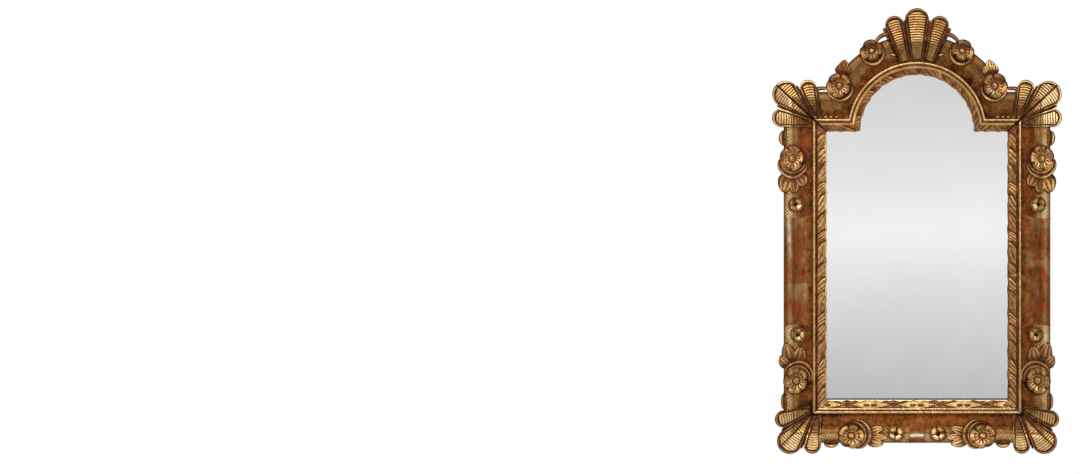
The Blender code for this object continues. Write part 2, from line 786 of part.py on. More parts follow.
def add_strap(node, side):
    """A strap folded double round an eye, drawn as its side view."""
    x, depth, height = hanger_pivot(side)
    eye = RING_WIRE_RADIUS + EYE_CLEARANCE
    outer = eye + STRAP_SHEET
    fold = 2 * STRAP_SHEET - outer
    leave = math.acos(fold / outer)
    curve = bpy.data.curves.new(node, "CURVE")
    curve.dimensions = "2D"
    curve.fill_mode = "BOTH"
    curve.extrude = STRAP_WIDTH / 2
    outline = [(-outer, -STRAP_LENGTH), (fold, -STRAP_LENGTH)]
    for step in range(EYE_STEPS + 1):
        angle = -leave + (math.pi + leave) * step / EYE_STEPS
        outline.append((outer * math.cos(angle), outer * math.sin(angle)))
    hole = []
    for step in range(EYE_STEPS):
        angle = 2 * math.pi * step / EYE_STEPS
        hole.append((eye * math.cos(angle), eye * math.sin(angle)))
    for points in (outline, hole):
        spline = curve.splines.new("POLY")
        spline.points.add(len(points) - 1)
        for point, (across, along) in zip(spline.points, points):
            point.co = (across, along, 0, 1)
        spline.use_cyclic_u = True
    drawing = add_cutter(node + "_drawing", curve)
    drawing.rotation_euler = (math.pi / 2, 0, math.pi / 2)
    drawing.location = (x, depth, height)
    bpy.context.view_layer.update()
    return add_part(node, mesh_from_curve(drawing), "hanger_iron")


def add_ring(node, side):
    """A D-ring whose straight bar lies in the strap's eye; its bow rests on the strap."""
    x, depth, height = hanger_pivot(side)
    curve = bpy.data.curves.new(node, "CURVE")
    curve.dimensions = "3D"
    curve.bevel_depth = RING_WIRE_RADIUS
    curve.bevel_resolution = 2
    spline = curve.splines.new("POLY")
    spline.points.add(RING_STEPS)
    for step, point in enumerate(spline.points):
        angle = math.pi * step / RING_STEPS
        point.co = (RING_HALF_WIDTH * math.cos(angle), 0, -RING_REACH * math.sin(angle), 1)
    spline.use_cyclic_u = True
    ring = add_part(node, curve, "hanger_iron")
    rest_depth = SEAM + 2 * STRAP_SHEET + SEAM + RING_WIRE_RADIUS
    ring.location = (x, depth, height)
    ring.rotation_euler = (math.asin((rest_depth - depth) / RING_REACH), 0, 0)


def add_screw(node, place):
    """A pan-head screw, turned round the Y axis with its head to the back."""
    neck = SCREW_HEAD_HEIGHT / 2
    profile = (
        (0.0, SCREW_HEAD_HEIGHT),
        (SCREW_CROWN_RADIUS, SCREW_HEAD_HEIGHT),
        (SCREW_HEAD_RADIUS, neck),
        (SCREW_HEAD_RADIUS, 0.0),
        (SCREW_SHANK_RADIUS, 0.0),
        (SCREW_SHANK_RADIUS, SCREW_POINT - SCREW_LENGTH),
        (0.0, -SCREW_LENGTH),
    )
    bm = bmesh.new()
    verts = [bm.verts.new((radius, 0, level)) for radius, level in profile]
    for first, last in zip(verts, verts[1:]):
        bm.edges.new((first, last))
    mesh = bpy.data.meshes.new(node)
    bm.to_mesh(mesh)
    bm.free()
    screw = add_part(node, mesh, "hanger_iron")
    turn = screw.modifiers.new("turn", "SCREW")
    turn.steps = SCREW_STEPS
    turn.render_steps = SCREW_STEPS
    turn.use_merge_vertices = True
    turn.merge_threshold = MERGE
    screw.rotation_euler = (-math.pi / 2, 0, 0)
    screw.location = place


def make_hangers():
    """Strap hangers, their swinging rings and their screws on the backs of the stiles."""
    for label, side in SIDES:
        stile = bpy.data.objects[label + "_stile"]
        strap = add_strap(label + "_strap_hanger", side)
        add_ring(label + "_hanging_ring", side)
        x, depth, height = hanger_pivot(side)
        for place, drop in (("upper", UPPER_SCREW_DROP), ("lower", LOWER_SCREW_DROP)):
            node = "_".join((label, place, "hanger_screw"))
            head_seat = SEAM + 2 * STRAP_SHEET + SEAM
            add_screw(node, (x, head_seat, height - drop))
            bore = SCREW_SHANK_RADIUS + SEAM
            length = 2 * (SCREW_LENGTH - head_seat + SEAM)
            hole = cylinder(node + "_hole", bore, length, (x, 0, height - drop))
            add_boolean(stile, hole, "DIFFERENCE")
            add_boolean(strap, hole, "DIFFERENCE")


def main():
    make_members()
    make_sight_mouldings()
    seat = add_cutter("seat", loft("seat", grow_section(member_section(), SEAM), ring_run, closed=True))
    make_crest(seat)
    make_corner_shells(seat)
    make_arch_flowers(seat)
    make_side_groups(seat)
    make_glazing()
    make_hangers()


main()
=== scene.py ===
"""Looks of the pier mirror: carved and gilded members, shells and flowers round a looking-glass.

Units are metres, +Z is up and the front faces -Y. A point of the frame is given by its outset u
from the sight edge, which is the visible edge of the glass, and its height h before the wall.
"""

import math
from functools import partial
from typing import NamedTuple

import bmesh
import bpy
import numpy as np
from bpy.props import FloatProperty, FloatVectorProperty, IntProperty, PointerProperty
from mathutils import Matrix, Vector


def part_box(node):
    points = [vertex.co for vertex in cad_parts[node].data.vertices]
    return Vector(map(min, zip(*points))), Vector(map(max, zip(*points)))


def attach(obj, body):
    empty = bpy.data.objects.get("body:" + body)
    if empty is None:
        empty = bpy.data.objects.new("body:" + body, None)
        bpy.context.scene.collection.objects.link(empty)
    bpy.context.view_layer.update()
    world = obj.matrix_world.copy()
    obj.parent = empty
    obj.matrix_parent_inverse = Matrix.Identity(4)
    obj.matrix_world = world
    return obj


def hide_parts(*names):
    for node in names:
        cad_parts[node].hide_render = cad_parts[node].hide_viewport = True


bl_info = {
    "name": "Pier Mirror",
    "version": (1, 0, 0),
    "blender": (4, 5, 0),
    "location": "View3D > Sidebar > Pier Mirror",
    "description": "Builds the carved and gilded looks of an arched pier mirror",
    "category": "Object",
}

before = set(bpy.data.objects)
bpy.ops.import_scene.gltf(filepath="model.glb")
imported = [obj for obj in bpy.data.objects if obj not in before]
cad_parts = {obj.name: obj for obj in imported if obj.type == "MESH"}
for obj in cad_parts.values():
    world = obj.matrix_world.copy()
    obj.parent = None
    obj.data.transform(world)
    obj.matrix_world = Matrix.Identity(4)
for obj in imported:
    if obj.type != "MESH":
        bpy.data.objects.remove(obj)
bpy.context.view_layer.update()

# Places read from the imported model, and the sizes that go with them
STILE_LOW, STILE_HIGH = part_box("right_stile")
ARCH_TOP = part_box("arch_rail")[1][2]
RAIL_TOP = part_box("bottom_rail")[1][2]
BOARD_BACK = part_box("backboard")[1][1]
REBATE = 0.009
CROWN_WIDTH = 0.088
ARCH_RADIUS = 0.128
SIDES = (("left", -1), ("right", 1))

# Curves of the face
COVE_END_DEGREES = 150
BRIDGE_POWER = 1.3
SHOULDER_SHARE = 0.15

# Gaps and skins of the carvings
MITRE_PULL = 0.00004
CARVING_SKIN = 0.0015
CARVING_SINK = 0.004
CARVING_EDGE = 0.006
OVERHANG_DROOP = 0.20
UNDERCUT = 0.45
MERGE = 0.000002
# Level on the sides and back of every carving: painted shade
SHADED_SIDES = 0.04
SHARP_DEGREES = 55


class Lobe(NamedTuple):
    """One lobe of a shell: angles, tip radius, sag of the ribs, painted light and shade on its two halves,
    the level of its side rims with their painted highlight, and painted shade at its foot (painted light
    where the foot is above 1).
    """
    first: float
    last: float
    tip: float
    sag: float
    low: float
    high: float
    side: float
    foot: float


# Shells, with the narrow fillets between their lobes as (first angle, last angle, point radius)
CREST_LOBES = (
    Lobe(-23.5, -9.8, 0.1966, -0.002, -0.05, -0.05, 0.62, 1.10),
    Lobe(-8.6, 8.6, 0.207, -0.002, 0.0, 0.0, 0.62, 1.0),
    Lobe(9.8, 23.5, 0.1966, -0.002, -0.04, -0.04, 0.62, 1.10),
)
CREST_FILLETS = ((-25.9, -23.5, 0.1775), (-9.8, -8.6, 0.182), (8.6, 9.8, 0.182), (23.5, 25.9, 0.1775))
UPPER_LOBES = (
    Lobe(-13.0, 19.0, 0.093, 0.004, -0.03, 0.0, 1.05, 0.38),
    Lobe(21.4, 62.8, 0.114, 0.002, 0.03, -0.15, 0.60, 0.60),
    Lobe(65.2, 95.0, 0.090, -0.004, -0.15, -0.18, 0.60, 0.66),
)
UPPER_FILLETS = ((19.0, 21.4, 0.087), (62.8, 65.2, 0.084), (95.0, 98.0, 0.072))
LOWER_LOBES = (
    Lobe(-4.0, 27.0, 0.088, 0.004, -0.09, -0.06, 0.60, 0.72),
    Lobe(29.4, 70.0, 0.111, 0.002, -0.10, 0.03, 0.85, 0.55),
    Lobe(72.4, 103.0, 0.091, -0.004, -0.02, -0.05, 1.50, 0.28),
)
LOWER_FILLETS = ((27.0, 29.4, 0.081), (70.0, 72.4, 0.084))


class Group(NamedTuple):
    """A flower with its bud, leaves and scroll. Flower and bud are (outset, distance along the member)."""
    name: str
    flower: tuple
    bud: tuple
    bud_size: float
    curl: float
    lean: float
    leaves: tuple
    leaf_tone: float
    scroll_start: float
    scroll_swell: float


# Groups on the stiles and the bottom rail. Leaves are (heading, reach from the flower's middle, width)
GROUPS = (
    Group(
        "stile_upper", flower=(0.0735, 0.062), bud=(0.067, 0.165), bud_size=0.98, curl=277.0, lean=180.0,
        leaves=((286.0, 0.079, 0.036), (248.0, 0.067, 0.030), (267.0, 0.078, 0.028)), leaf_tone=0.0,
        scroll_start=-0.001, scroll_swell=0.0105,
    ),
    Group(
        "stile_lower", flower=(0.0650, 0.045), bud=(0.062, 0.148), bud_size=0.98, curl=106.0, lean=180.0,
        leaves=((56.0, 0.067, 0.023), (97.0, 0.077, 0.030), (74.0, 0.089, 0.032)), leaf_tone=0.0,
        scroll_start=-0.0185, scroll_swell=0.0060,
    ),
    Group(
        "bottom", flower=(0.0765, 0.057), bud=(0.0725, 0.157), bud_size=1.10, curl=174.0, lean=90.0,
        leaves=((168.0, 0.074, 0.018), (196.0, 0.074, 0.024), (183.0, 0.083, 0.018)), leaf_tone=0.16,
        scroll_start=-0.0045, scroll_swell=0.0105,
    ),
)

# Flowers on the arch are (degrees from its top, outset), and the lower ones have leaves
ARCH_UPPER_FLOWER = (29.6, 0.0828)
ARCH_LOWER_FLOWER = (60.0, 0.0778)
ARCH_LEAVES = ((91.0, 0.0490, 0.020), (117.0, 0.0500, 0.020), (102.0, 0.0600, 0.024))
ARCH_LEAF_TONE = 0.13


def length(name, description, value):
    """A length that a user can change."""
    return FloatProperty(name=name, description=description, default=value, unit="LENGTH")


def colour(name, description, value):
    """A colour that a user can change."""
    return FloatVectorProperty(
        name=name, description=description, subtype="COLOR", size=3, min=0.0, max=1.0, default=value,
    )


class MirrorFrameSizes(bpy.types.PropertyGroup):
    """Sizes of the members and the sight moulding."""
    sight_half_width: length("Sight Half Width", "Half the width of the visible glass", STILE_LOW[0] - REBATE)
    sight_bottom: length("Sight Bottom", "Height of the lower edge of the visible glass", RAIL_TOP + REBATE)
    face_width: length("Face Width", "Sight edge to outer edge", STILE_HIGH[0] - STILE_LOW[0] + REBATE)
    crown_face_width: length("Crown Face Width", "Width of the arched top rail", CROWN_WIDTH)
    arch_radius: length("Arch Radius", "Radius of the arch's sight edge", ARCH_RADIUS)
    springing: length("Springing", "Height of the level shoulders", ARCH_TOP - CROWN_WIDTH - ARCH_RADIUS)
    depth: length("Depth", "Height of the outer round before the wall", -STILE_LOW[1])
    torus_half_width: length("Torus Half Width", "Half the width of the outer round", 0.013)
    torus_rise: length("Torus Rise", "Rise of the outer round", 0.014)
    cove_height: length("Cove Height", "Height of the cove beside the sight moulding", 0.028)
    cove_power: FloatProperty(name="Cove Power", description="How hollow the cove is", default=1.8)
    ledge_width: length("Ledge Width", "Width of the ledge under the sight moulding", 0.031)
    ledge_height: length("Ledge Height", "Height of the ledge under the sight moulding", 0.018)
    band_width: length("Leaf Band Width", "Width of the carved leaf band", 0.020)
    bead_width: length("Bead Width", "Width of the bead outside the leaf band", 0.007)


class MirrorCarvingSizes(bpy.types.PropertyGroup):
    """Sizes of the shells, flowers and leaves."""
    flower_radius: length("Flower Radius", "Radius of the large flowers", 0.030)
    bud_radius: length("Bud Radius", "Radius of the small flowers", 0.0175)
    tail: length("Curled Leaf", "Width of the curled leaf under a large flower", 0.021)
    rib_pitch: length("Rib Pitch", "Distance between the cross ribs in the shells", 0.0058)
    rib_depth: length("Rib Depth", "Depth of the cross ribs in the shells", 0.0018)
    rim_width: length("Rim Width", "Width of the raised rim round a lobe", 0.0068)
    leaf_pitch: length("Leaf Pitch", "Length of one leaf on the leaf band", 0.036)
    hatch_pitch: length("Hatch Pitch", "Distance between the cuts of the hatched ground", 0.0053)
    flutes: IntProperty(name="Flutes", description="Cuts round the middle of a large flower", default=14)


class MirrorColours(bpy.types.PropertyGroup):
    """Colours of the gilding, the wood and the iron, as linear values."""
    # Also the colour of the painted highlights
    pale_gold: colour("Pale Gold", "Burnished edges", (0.97, 0.74, 0.41))
    gold: colour("Gold", "Sound leaf", (0.575, 0.322, 0.112))
    brown: colour("Brown", "Leaf under old size and dust", (0.170, 0.054, 0.011))
    hollow: colour("Hollow", "Size and dirt in the carvings", (0.135, 0.056, 0.022))
    # Also the colour where the painted shade is darkest
    umber: colour("Umber", "Dirt in the hollows", (0.022, 0.009, 0.004))
    bole: colour("Bole", "Red clay where the leaf is worn through", (0.32, 0.060, 0.022))
    # Also the base of the painted sheen on the plain panels
    rubbed: colour("Rubbed Silver", "Olive rub on the plain panels", (0.38, 0.32, 0.14))
    wood: colour("Wood", "Bare softwood at the back", (0.20, 0.105, 0.050))
    iron: colour("Iron", "Strap hangers and sprigs", (0.15, 0.135, 0.12))
    glass: colour("Glass", "Silvering behind the glass", (0.905, 0.905, 0.905))
    # Painted reflection of the frame's edge along the foot of the glass
    glass_edge_reflection: colour("Glass Edge", "Dark line along the foot of the glass", (0.10, 0.13, 0.20))
    floor: colour("Floor", "Studio floor", (0.78, 0.78, 0.78))


# Curves of the face, and how a grid becomes a carved piece


def ease(value, low, high):
    """Rise smoothly from 0 at low to 1 at high."""
    share = np.clip((value - low) / (high - low), 0.0, 1.0)
    return share * share * (3 - 2 * share)


def hump(value, middle, width):
    """A soft ridge of height 1."""
    return np.exp(-((value - middle) / width) ** 2)


def window(value, rise, fall):
    """Rise from 0 to 1 between the two values of rise, and sink back between those of fall."""
    return ease(value, *rise) * (1 - ease(value, *fall))


def half_round(value):
    """A half circle over the values from -1 to 1."""
    return np.sqrt(np.maximum(0.0, 1 - value * value))


def wave(run, pitch, start=0.0):
    """A wave that repeats along a run, from -1 to 1."""
    return np.sin(2 * np.pi * run / pitch + start)


def sector(count, turn):
    """Place within one of so many equal parts of a full turn, from -1 to 1."""
    return 2 * np.mod(count * turn / (2 * np.pi), 1.0) - 1


def hand_waver(x, z):
    """The small unevenness of hand work, within about 1 either way."""
    waver = np.sin(61 * x + 37 * z) + np.sin(113 * z - 71 * x + 1.3) + np.sin(211 * x + 173 * z + 2.1)
    return waver / 3


class FrameFace:
    """The members' face: where a point lies on it and how high it stands."""

    def __init__(self, sizes):
        self.half = sizes.sight_half_width
        self.bottom = sizes.sight_bottom
        self.width = sizes.face_width
        self.radius = sizes.arch_radius
        self.springing = sizes.springing
        self.depth = sizes.depth
        self.torus_half = sizes.torus_half_width
        self.torus_rise = sizes.torus_rise
        self.cove_height = sizes.cove_height
        self.cove_power = sizes.cove_power
        self.ledge = sizes.ledge_width
        self.ledge_height = sizes.ledge_height
        self.band = sizes.band_width
        self.bead = sizes.bead_width
        self.scale = sizes.crown_face_width / sizes.face_width
        self.crest = self.width - self.torus_half
        self.spring = self.depth - self.torus_rise
        self.cove_end_angle = math.radians(COVE_END_DEGREES)
        self.cove_end = self.crest + self.torus_half * math.cos(self.cove_end_angle)
        self.cove_end_height = self.spring + self.torus_rise * math.sin(self.cove_end_angle)

    def outset(self, x, z):
        """Outset of points seen from the front."""
        rise = z - self.springing
        crown = np.minimum(rise, np.hypot(x, rise) - self.radius) / self.scale
        crown = np.where(rise > 0, crown, -1.0)
        return np.maximum.reduce([np.abs(x) - self.half, self.bottom - z, crown])

    def height(self, u):
        """Height of the cove and the torus."""
        share = np.clip(np.abs(u - self.crest) / self.torus_half, 0.0, 1.0)
        torus = self.spring + self.torus_rise * half_round(share)
        share = np.clip((u - self.ledge) / (self.cove_end - self.ledge), 0.0, 1.0)
        cove = self.cove_height + (self.cove_end_height - self.cove_height) * share ** self.cove_power
        return np.where(u >= self.cove_end, torus, cove)

    def laid(self, x, z):
        """Height that a carving is laid on: the face, running on past the outer edge."""
        u = self.outset(x, z)
        past = self.depth - OVERHANG_DROOP * (u - self.crest)
        return np.where(u > self.crest, past, self.height(u))

    def bridged(self, x, z):
        """Height that a shell is laid on: it rises evenly from the ledge to the crest of the round."""
        share = np.clip((self.outset(x, z) - self.ledge) / (self.crest - self.ledge), 0.0, 1.0)
        slope = self.cove_height + (self.depth - self.cove_height) * share ** BRIDGE_POWER
        return np.maximum(self.laid(x, z), slope * (share < 1.0))

    def seat(self, x, z):
        """Height of a carving's back: just inside the face, and undercut past the edge."""
        u = self.outset(x, z)
        laid = self.laid(x, z)
        under = self.cove_height - CARVING_SINK + UNDERCUT * np.maximum(0.0, u - self.width)
        inner = u < self.width - CARVING_SINK
        return np.where(inner, laid - CARVING_SKIN, np.minimum(under, laid - CARVING_EDGE))

    def stile(self, u, along, side):
        """Point on a stile, at a share of the way from the lower mitre to the upper."""
        low = self.bottom - u + MITRE_PULL
        high = self.springing + u * self.scale - MITRE_PULL
        return side * (self.half + u), low + (high - low) * along

    def rail(self, u, along):
        """Point on the bottom rail, at a share of the way from left to right."""
        end = self.half + u - MITRE_PULL
        return end * (2 * along - 1), self.bottom - u + 0 * along

    def crown(self, u, along):
        """Point on the top rail: a shoulder, the arch and the other shoulder."""
        offset = u * self.scale
        radius = self.radius + offset
        start = np.arcsin(offset / radius)
        end = self.half + u - MITRE_PULL
        foot = radius * np.cos(start)
        arch_share = np.clip((along - SHOULDER_SHARE) / (1 - 2 * SHOULDER_SHARE), 0.0, 1.0)
        angle = np.pi - start - (np.pi - 2 * start) * arch_share
        x = radius * np.cos(angle)
        z = self.springing + radius * np.sin(angle)
        before = along < SHOULDER_SHARE
        after = along > 1 - SHOULDER_SHARE
        x = np.where(before, -end + (end - foot) * along / SHOULDER_SHARE, x)
        x = np.where(after, end - (end - foot) * (1 - along) / SHOULDER_SHARE, x)
        return x, np.where(before | after, self.springing + offset, z)

    def arch_point(self, place):
        """Point on the right half of the arch, from degrees off its top and outset."""
        angle = math.radians(place[0])
        radius = self.radius + place[1] * self.scale
        return radius * math.sin(angle), self.springing + radius * math.cos(angle)

    def group_point(self, group, place):
        """Point of a right-hand group, from its outset and its distance along the member."""
        u, distance = place
        if group.name == "stile_upper":
            return self.half + u, self.springing - distance
        if group.name == "stile_lower":
            return self.half + u, self.bottom + distance
        return self.half - distance, self.bottom - u


def polar(centre, degrees, radius):
    """Point at a heading and distance from another."""
    angle = np.radians(degrees)
    return centre[0] + radius * np.cos(angle), centre[1] + radius * np.sin(angle)


def grid_shares(bm, columns, rows):
    """Start a bmesh with a grid, and give each vertex's share across and along it."""
    bmesh.ops.create_grid(bm, x_segments=columns, y_segments=rows, size=0.5)
    places = np.array([vert.co[:] for vert in bm.verts])
    return np.round((places[:, 0] + 0.5) * columns) / columns, np.round((places[:, 1] + 0.5) * rows) / rows


def set_marks(bm, marks):
    """Write marks, such as wear with painted light and shade, to every vertex for the materials to read."""
    for name, values in marks.items():
        layer = bm.verts.layers.float.new(name)
        for vert, value in zip(bm.verts, values):
            vert[layer] = value


def carve(bm, grid, relief):
    """Add a carving to a bmesh. relief gives x, z, top, back, wear with painted light and shade, and bole
    from the shares of a grid.
    """
    block = bmesh.new()
    x, z, top, back, wear, bole = relief(*grid_shares(block, *grid))
    for vert, place in zip(block.verts, np.stack((x, -top, z), axis=1)):
        vert.co = place
    set_marks(block, {"wear": np.clip(wear, 0.0, 1.0), "bole": bole + 0 * x, "back": back})
    bmesh.ops.remove_doubles(block, verts=block.verts[:], dist=MERGE)
    thick = bmesh.ops.extrude_face_region(block, geom=block.faces[:])
    back_mark = block.verts.layers.float["back"]
    wear_mark = block.verts.layers.float["wear"]
    # The sides and back of the block are painted dark: painted shade
    for vert in thick["geom"]:
        if isinstance(vert, bmesh.types.BMVert):
            vert.co.y = -vert[back_mark]
            vert[wear_mark] = SHADED_SIDES
    block.verts.layers.float.remove(back_mark)
    mesh = bpy.data.meshes.new("block")
    block.to_mesh(mesh)
    block.free()
    bm.from_mesh(mesh)
    bpy.data.meshes.remove(mesh)


def add_piece(bm, name, node, material, body="frame"):
    """Make a piece of a bmesh, which stands for a node and rides on a body."""
    bmesh.ops.recalc_face_normals(bm, faces=bm.faces[:])
    mesh = bpy.data.meshes.new(name)
    bm.to_mesh(mesh)
    bm.free()
    mesh.shade_smooth()
    mesh.set_sharp_from_angle(angle=math.radians(SHARP_DEGREES))
    mesh.materials.append(material)
    piece = bpy.data.objects.new(name, mesh)
    bpy.context.scene.collection.objects.link(piece)
    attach(piece, body)
    if node:
        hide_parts(node)


def add_carving(scene, node, *blocks):
    """Make the piece of a carved node from blocks of (grid, relief)."""
    bm = bmesh.new()
    for grid, relief in blocks:
        carve(bm, grid, relief)
    add_piece(bm, node + "_carved", node, gilt_material(scene, "gilt_carving"))


def sweep(bm, section, place, rows, relief):
    """Sweep a closed section along a member. relief gives the lift and the marks on its face."""
    columns = len(section)
    around, along = grid_shares(bm, columns, rows)
    index = np.round(around * columns).astype(int) % columns
    points = np.array(section)
    u = points[index, 0]
    x, z = place(u, along)
    lift, marks = relief(u, x, z, points[index, 2])
    for vert, spot in zip(bm.verts, np.stack((x, -points[index, 1] - lift, z), axis=1)):
        vert.co = spot
    set_marks(bm, marks)
    bmesh.ops.remove_doubles(bm, verts=bm.verts[:], dist=MERGE)
    bmesh.ops.holes_fill(bm, edges=[edge for edge in bm.edges if edge.is_boundary])


# Members: plain panels between stretches of cut-back and hatched ground

STILE_ROWS = 360
RAIL_ROWS = 300
CROWN_ROWS = 280
SIDE_STEPS = 6
TORUS_STEPS = 28
COVE_STEPS = 34
SIDE_FOOT = 0.003
SIDE_HEAD = 0.004
PANEL_TOP = 0.459
PANEL_FOOT = 0.224
PANEL_HALF = 0.016
PANEL_BEND = 0.008
PANEL_MIDDLE = 0.072
PANEL_SPAN = 0.030
PANEL_STEP = 0.001
GROUND_START = 0.060
GROUND_LEAF = 0.44
ARCH_GROUND_START = 0.047
ARCH_LEAF = 0.30
# Painted shade on the right half of the arch's hatched ground
ARCH_RIGHT_SHADE = 0.05
GROUND_DROP = 0.0012
BORDER_WAVE = 0.016
MITRE_CRACK = 0.0015
OLD_CRACK = 0.25
STILE_LEVEL = 0.2

# Levels and places over which one tone of the ground fades into the next
STILE_FOOT_FADE = (0.05, 0.09)
STILE_HEAD_FADE = (0.62, 0.68)
STILE_LOW_FADE = (0.15, 0.25)
CROWN_FADE = (0.66, 0.70)
CROWN_RIGHT_FADE = (0.02, 0.08)
GLOW_FADE = (0.34, 0.44)
RED_EDGE_FADE = (-0.38, -0.34)

# Strength of the old patches of paler size
LEFT_PATCH = 0.42
RIGHT_PATCH = 0.48
HEAD_PATCH = 0.30


def member_section(face):
    """Outline of a member as (u, h, part): 0 bare wood, 0.5 outer side, 1 gilded face."""
    points = [(REBATE, 0.0, 0.0), (face.width, 0.0, 0.0)]
    points += [(face.width, h, 0.5) for h in np.linspace(SIDE_FOOT, face.spring - SIDE_HEAD, SIDE_STEPS)]
    for angle in np.linspace(0.0, face.cove_end_angle, TORUS_STEPS):
        u = face.crest + face.torus_half * math.cos(angle)
        points.append((u, face.spring + face.torus_rise * math.sin(angle), 1.0))
    for u in np.linspace(face.cove_end, face.ledge, COVE_STEPS)[1:]:
        points.append((u, float(face.height(u)), 1.0))
    points.append((face.ledge, face.ledge_height, 0.0))
    points.append((REBATE, face.ledge_height, 0.0))
    return points


def mitre_distance(face, x, z):
    """Distance from the nearest mitre, square to it."""
    across = np.abs(x) - face.half
    upper = np.abs((z - face.springing) - across * face.scale) / math.hypot(1.0, face.scale)
    lower = np.abs((face.bottom - z) - across) / math.sqrt(2)
    return np.minimum(upper, lower)


def motif_spots(face, sizes):
    """Middle and radius of each flower and bud on the right."""
    places = (ARCH_UPPER_FLOWER, ARCH_LOWER_FLOWER)
    spots = [(face.arch_point(place), sizes.flower_radius) for place in places]
    for group in GROUPS:
        spots.append((face.group_point(group, group.flower), sizes.flower_radius))
        spots.append((face.group_point(group, group.bud), sizes.bud_radius))
    return spots


def motif_shade(spots, x, z):
    """Painted shade in the angle between the ground and the flowers, from 0 to 1."""
    shade = np.zeros_like(x)
    for (right, high), radius in spots:
        away = np.hypot(np.abs(x) - right, z - high) - radius + 0.003
        shade = np.maximum(shade, 1 - ease(away, 0.0005, 0.0060))
    return shade


def repairs(u, x, z):
    """Old patches of paler size on the plain panels of the stiles."""
    left = window(z, (0.262, 0.290), (0.313, 0.315)) * window(u, (0.040, 0.046), (0.082, 0.088))
    outer = ease(u, 0.078, 0.090)
    foot = 0.350 - 0.022 * outer
    right = window(z, (foot, foot + 0.004), (0.362, 0.372 + 0.02 * outer)) * ease(u, 0.038, 0.056)
    head = ease(z, 0.432, 0.444) * ease(u, 0.046, 0.056) * (z < PANEL_TOP)
    return np.maximum.reduce([LEFT_PATCH * left * (x < 0), RIGHT_PATCH * right * (x > 0), HEAD_PATCH * head])


def carved_ground(face, spots, u, x, z, part, carved, run, start=GROUND_START, leaf=GROUND_LEAF):
    """Relief and marks of a member's face. carved is 1 on the cut-back ground and 0 on plain panels."""
    on_face = part > 0.75
    plain = 1 - carved
    waver = hand_waver(x, z)
    border = start + 0.0016 * wave(run, BORDER_WAVE)
    ridge = hump(u, border, 0.0012) * carved
    crack = hump(mitre_distance(face, x, z), 0.0, MITRE_CRACK)
    lift = 0.0006 * ridge - GROUND_DROP * carved * ease(u, face.ledge, face.ledge + 0.006)
    lift += 0.00022 * waver - 0.0012 * crack

    hatched = carved * ease(u, border - 0.004, border + 0.012)
    smooth = 1 - hatched
    stile = ease(np.abs(x), face.half, face.half + 0.020) * window(z, STILE_FOOT_FADE, STILE_HEAD_FADE)
    panel_ends = hump(z, PANEL_TOP + 0.022, 0.030) + hump(z, PANEL_FOOT - 0.035, 0.035)
    # On the plain panels a painted highlight runs along the crest of the outer round.
    wear = 0.25 + 0.15 * hump(u, face.crest - 0.001, 0.0075) * plain + leaf * hatched + 0.04 * waver
    # Painted shade darkens the outer edge, where the round rolls away.
    wear += 0.10 * ridge - 0.30 * ease(u, face.width - 0.005, face.width - 0.001) - 1.2 * carved * plain
    # Painted shade darkens the cove beside the sight moulding.
    wear -= 0.12 * (1 - ease(u, face.ledge - 0.001, face.ledge + 0.012))
    # Painted shade round the flowers and buds
    wear -= 0.20 * motif_shade(spots, x, z)
    wear -= 0.07 * stile * carved * smooth * ease(z, *STILE_LOW_FADE)
    wear += 0.11 * stile * hatched * panel_ends
    # The smooth ground of the top rail is darker, and painted shade darkens its right half more.
    wear -= (0.07 + 0.06 * ease(x, *CROWN_RIGHT_FADE)) * ease(z, *CROWN_FADE) * smooth
    # Painted shade darkens the smooth ground of the bottom rail towards the lower corners.
    wear -= 0.14 * ease(np.abs(x), face.half - 0.045, face.half - 0.010) * (z < face.bottom) * smooth
    wear = wear * (1 - crack) - OLD_CRACK * crack

    on_stile = z > STILE_LEVEL
    # Painted highlight: a sheen along the crest of the outer round of the plain panels, strongest near the
    # top of the left stile and left off the right stile; it shares a mark with the real paler patches.
    glow = np.where(on_stile, (0.20 + 0.80 * ease(z, *GLOW_FADE)) * (x < 0), 1.0)
    shine = hump(u, face.crest - np.where(on_stile, 0.0, 0.006), 0.0058)
    rubbed = plain * np.maximum(glow * shine, repairs(u, x, z))
    panel = plain * ease(u, face.ledge + 0.004, face.ledge + 0.018) * (0.4 + 0.6 * on_stile)
    bole = plain * hump(u, face.cove_end + 0.007 * (x > 0), 0.0110) + 0.22 * stile * carved * smooth
    bole += plain * (x < 0) * hump(u, face.width - 0.005, 0.006) * ease(-z, *RED_EDGE_FADE)
    bole += 1.2 * (GROUND_LEAF - leaf) * hatched
    marks = {
        "wear": np.where(on_face, np.clip(wear, -0.3, 1.0), np.where(part > 0.25, 0.12, 0.3)),
        "run": run,
        "outset": u,
        "bare": np.where(part < 0.25, 1.0, 0.0),
    }
    for name, values in (("hatch", hatched), ("bole", bole), ("rubbed", rubbed), ("panel", panel)):
        marks[name] = np.where(on_face, values, 0.0)
    return np.where(on_face, lift, 0.0), marks


def panel_bend(u):
    """How far the end of a plain panel curves away at an outset."""
    return PANEL_BEND * ((u - PANEL_MIDDLE) / PANEL_SPAN) ** 2


def crown_run(face, u, x, z):
    """Distance along the top rail from its middle, taken near the sight edge."""
    offset = u * face.scale
    radius = face.radius + offset
    start = np.arcsin(np.clip(offset / radius, -1.0, 1.0))
    foot = radius * np.cos(start)
    ruler = face.radius + REBATE
    on_arch = np.arctan2(x, z - face.springing) * ruler
    on_shoulder = np.sign(x) * ((np.pi / 2 - start) * ruler + np.abs(x) - foot)
    return np.where(np.abs(x) > foot, on_shoulder, on_arch)


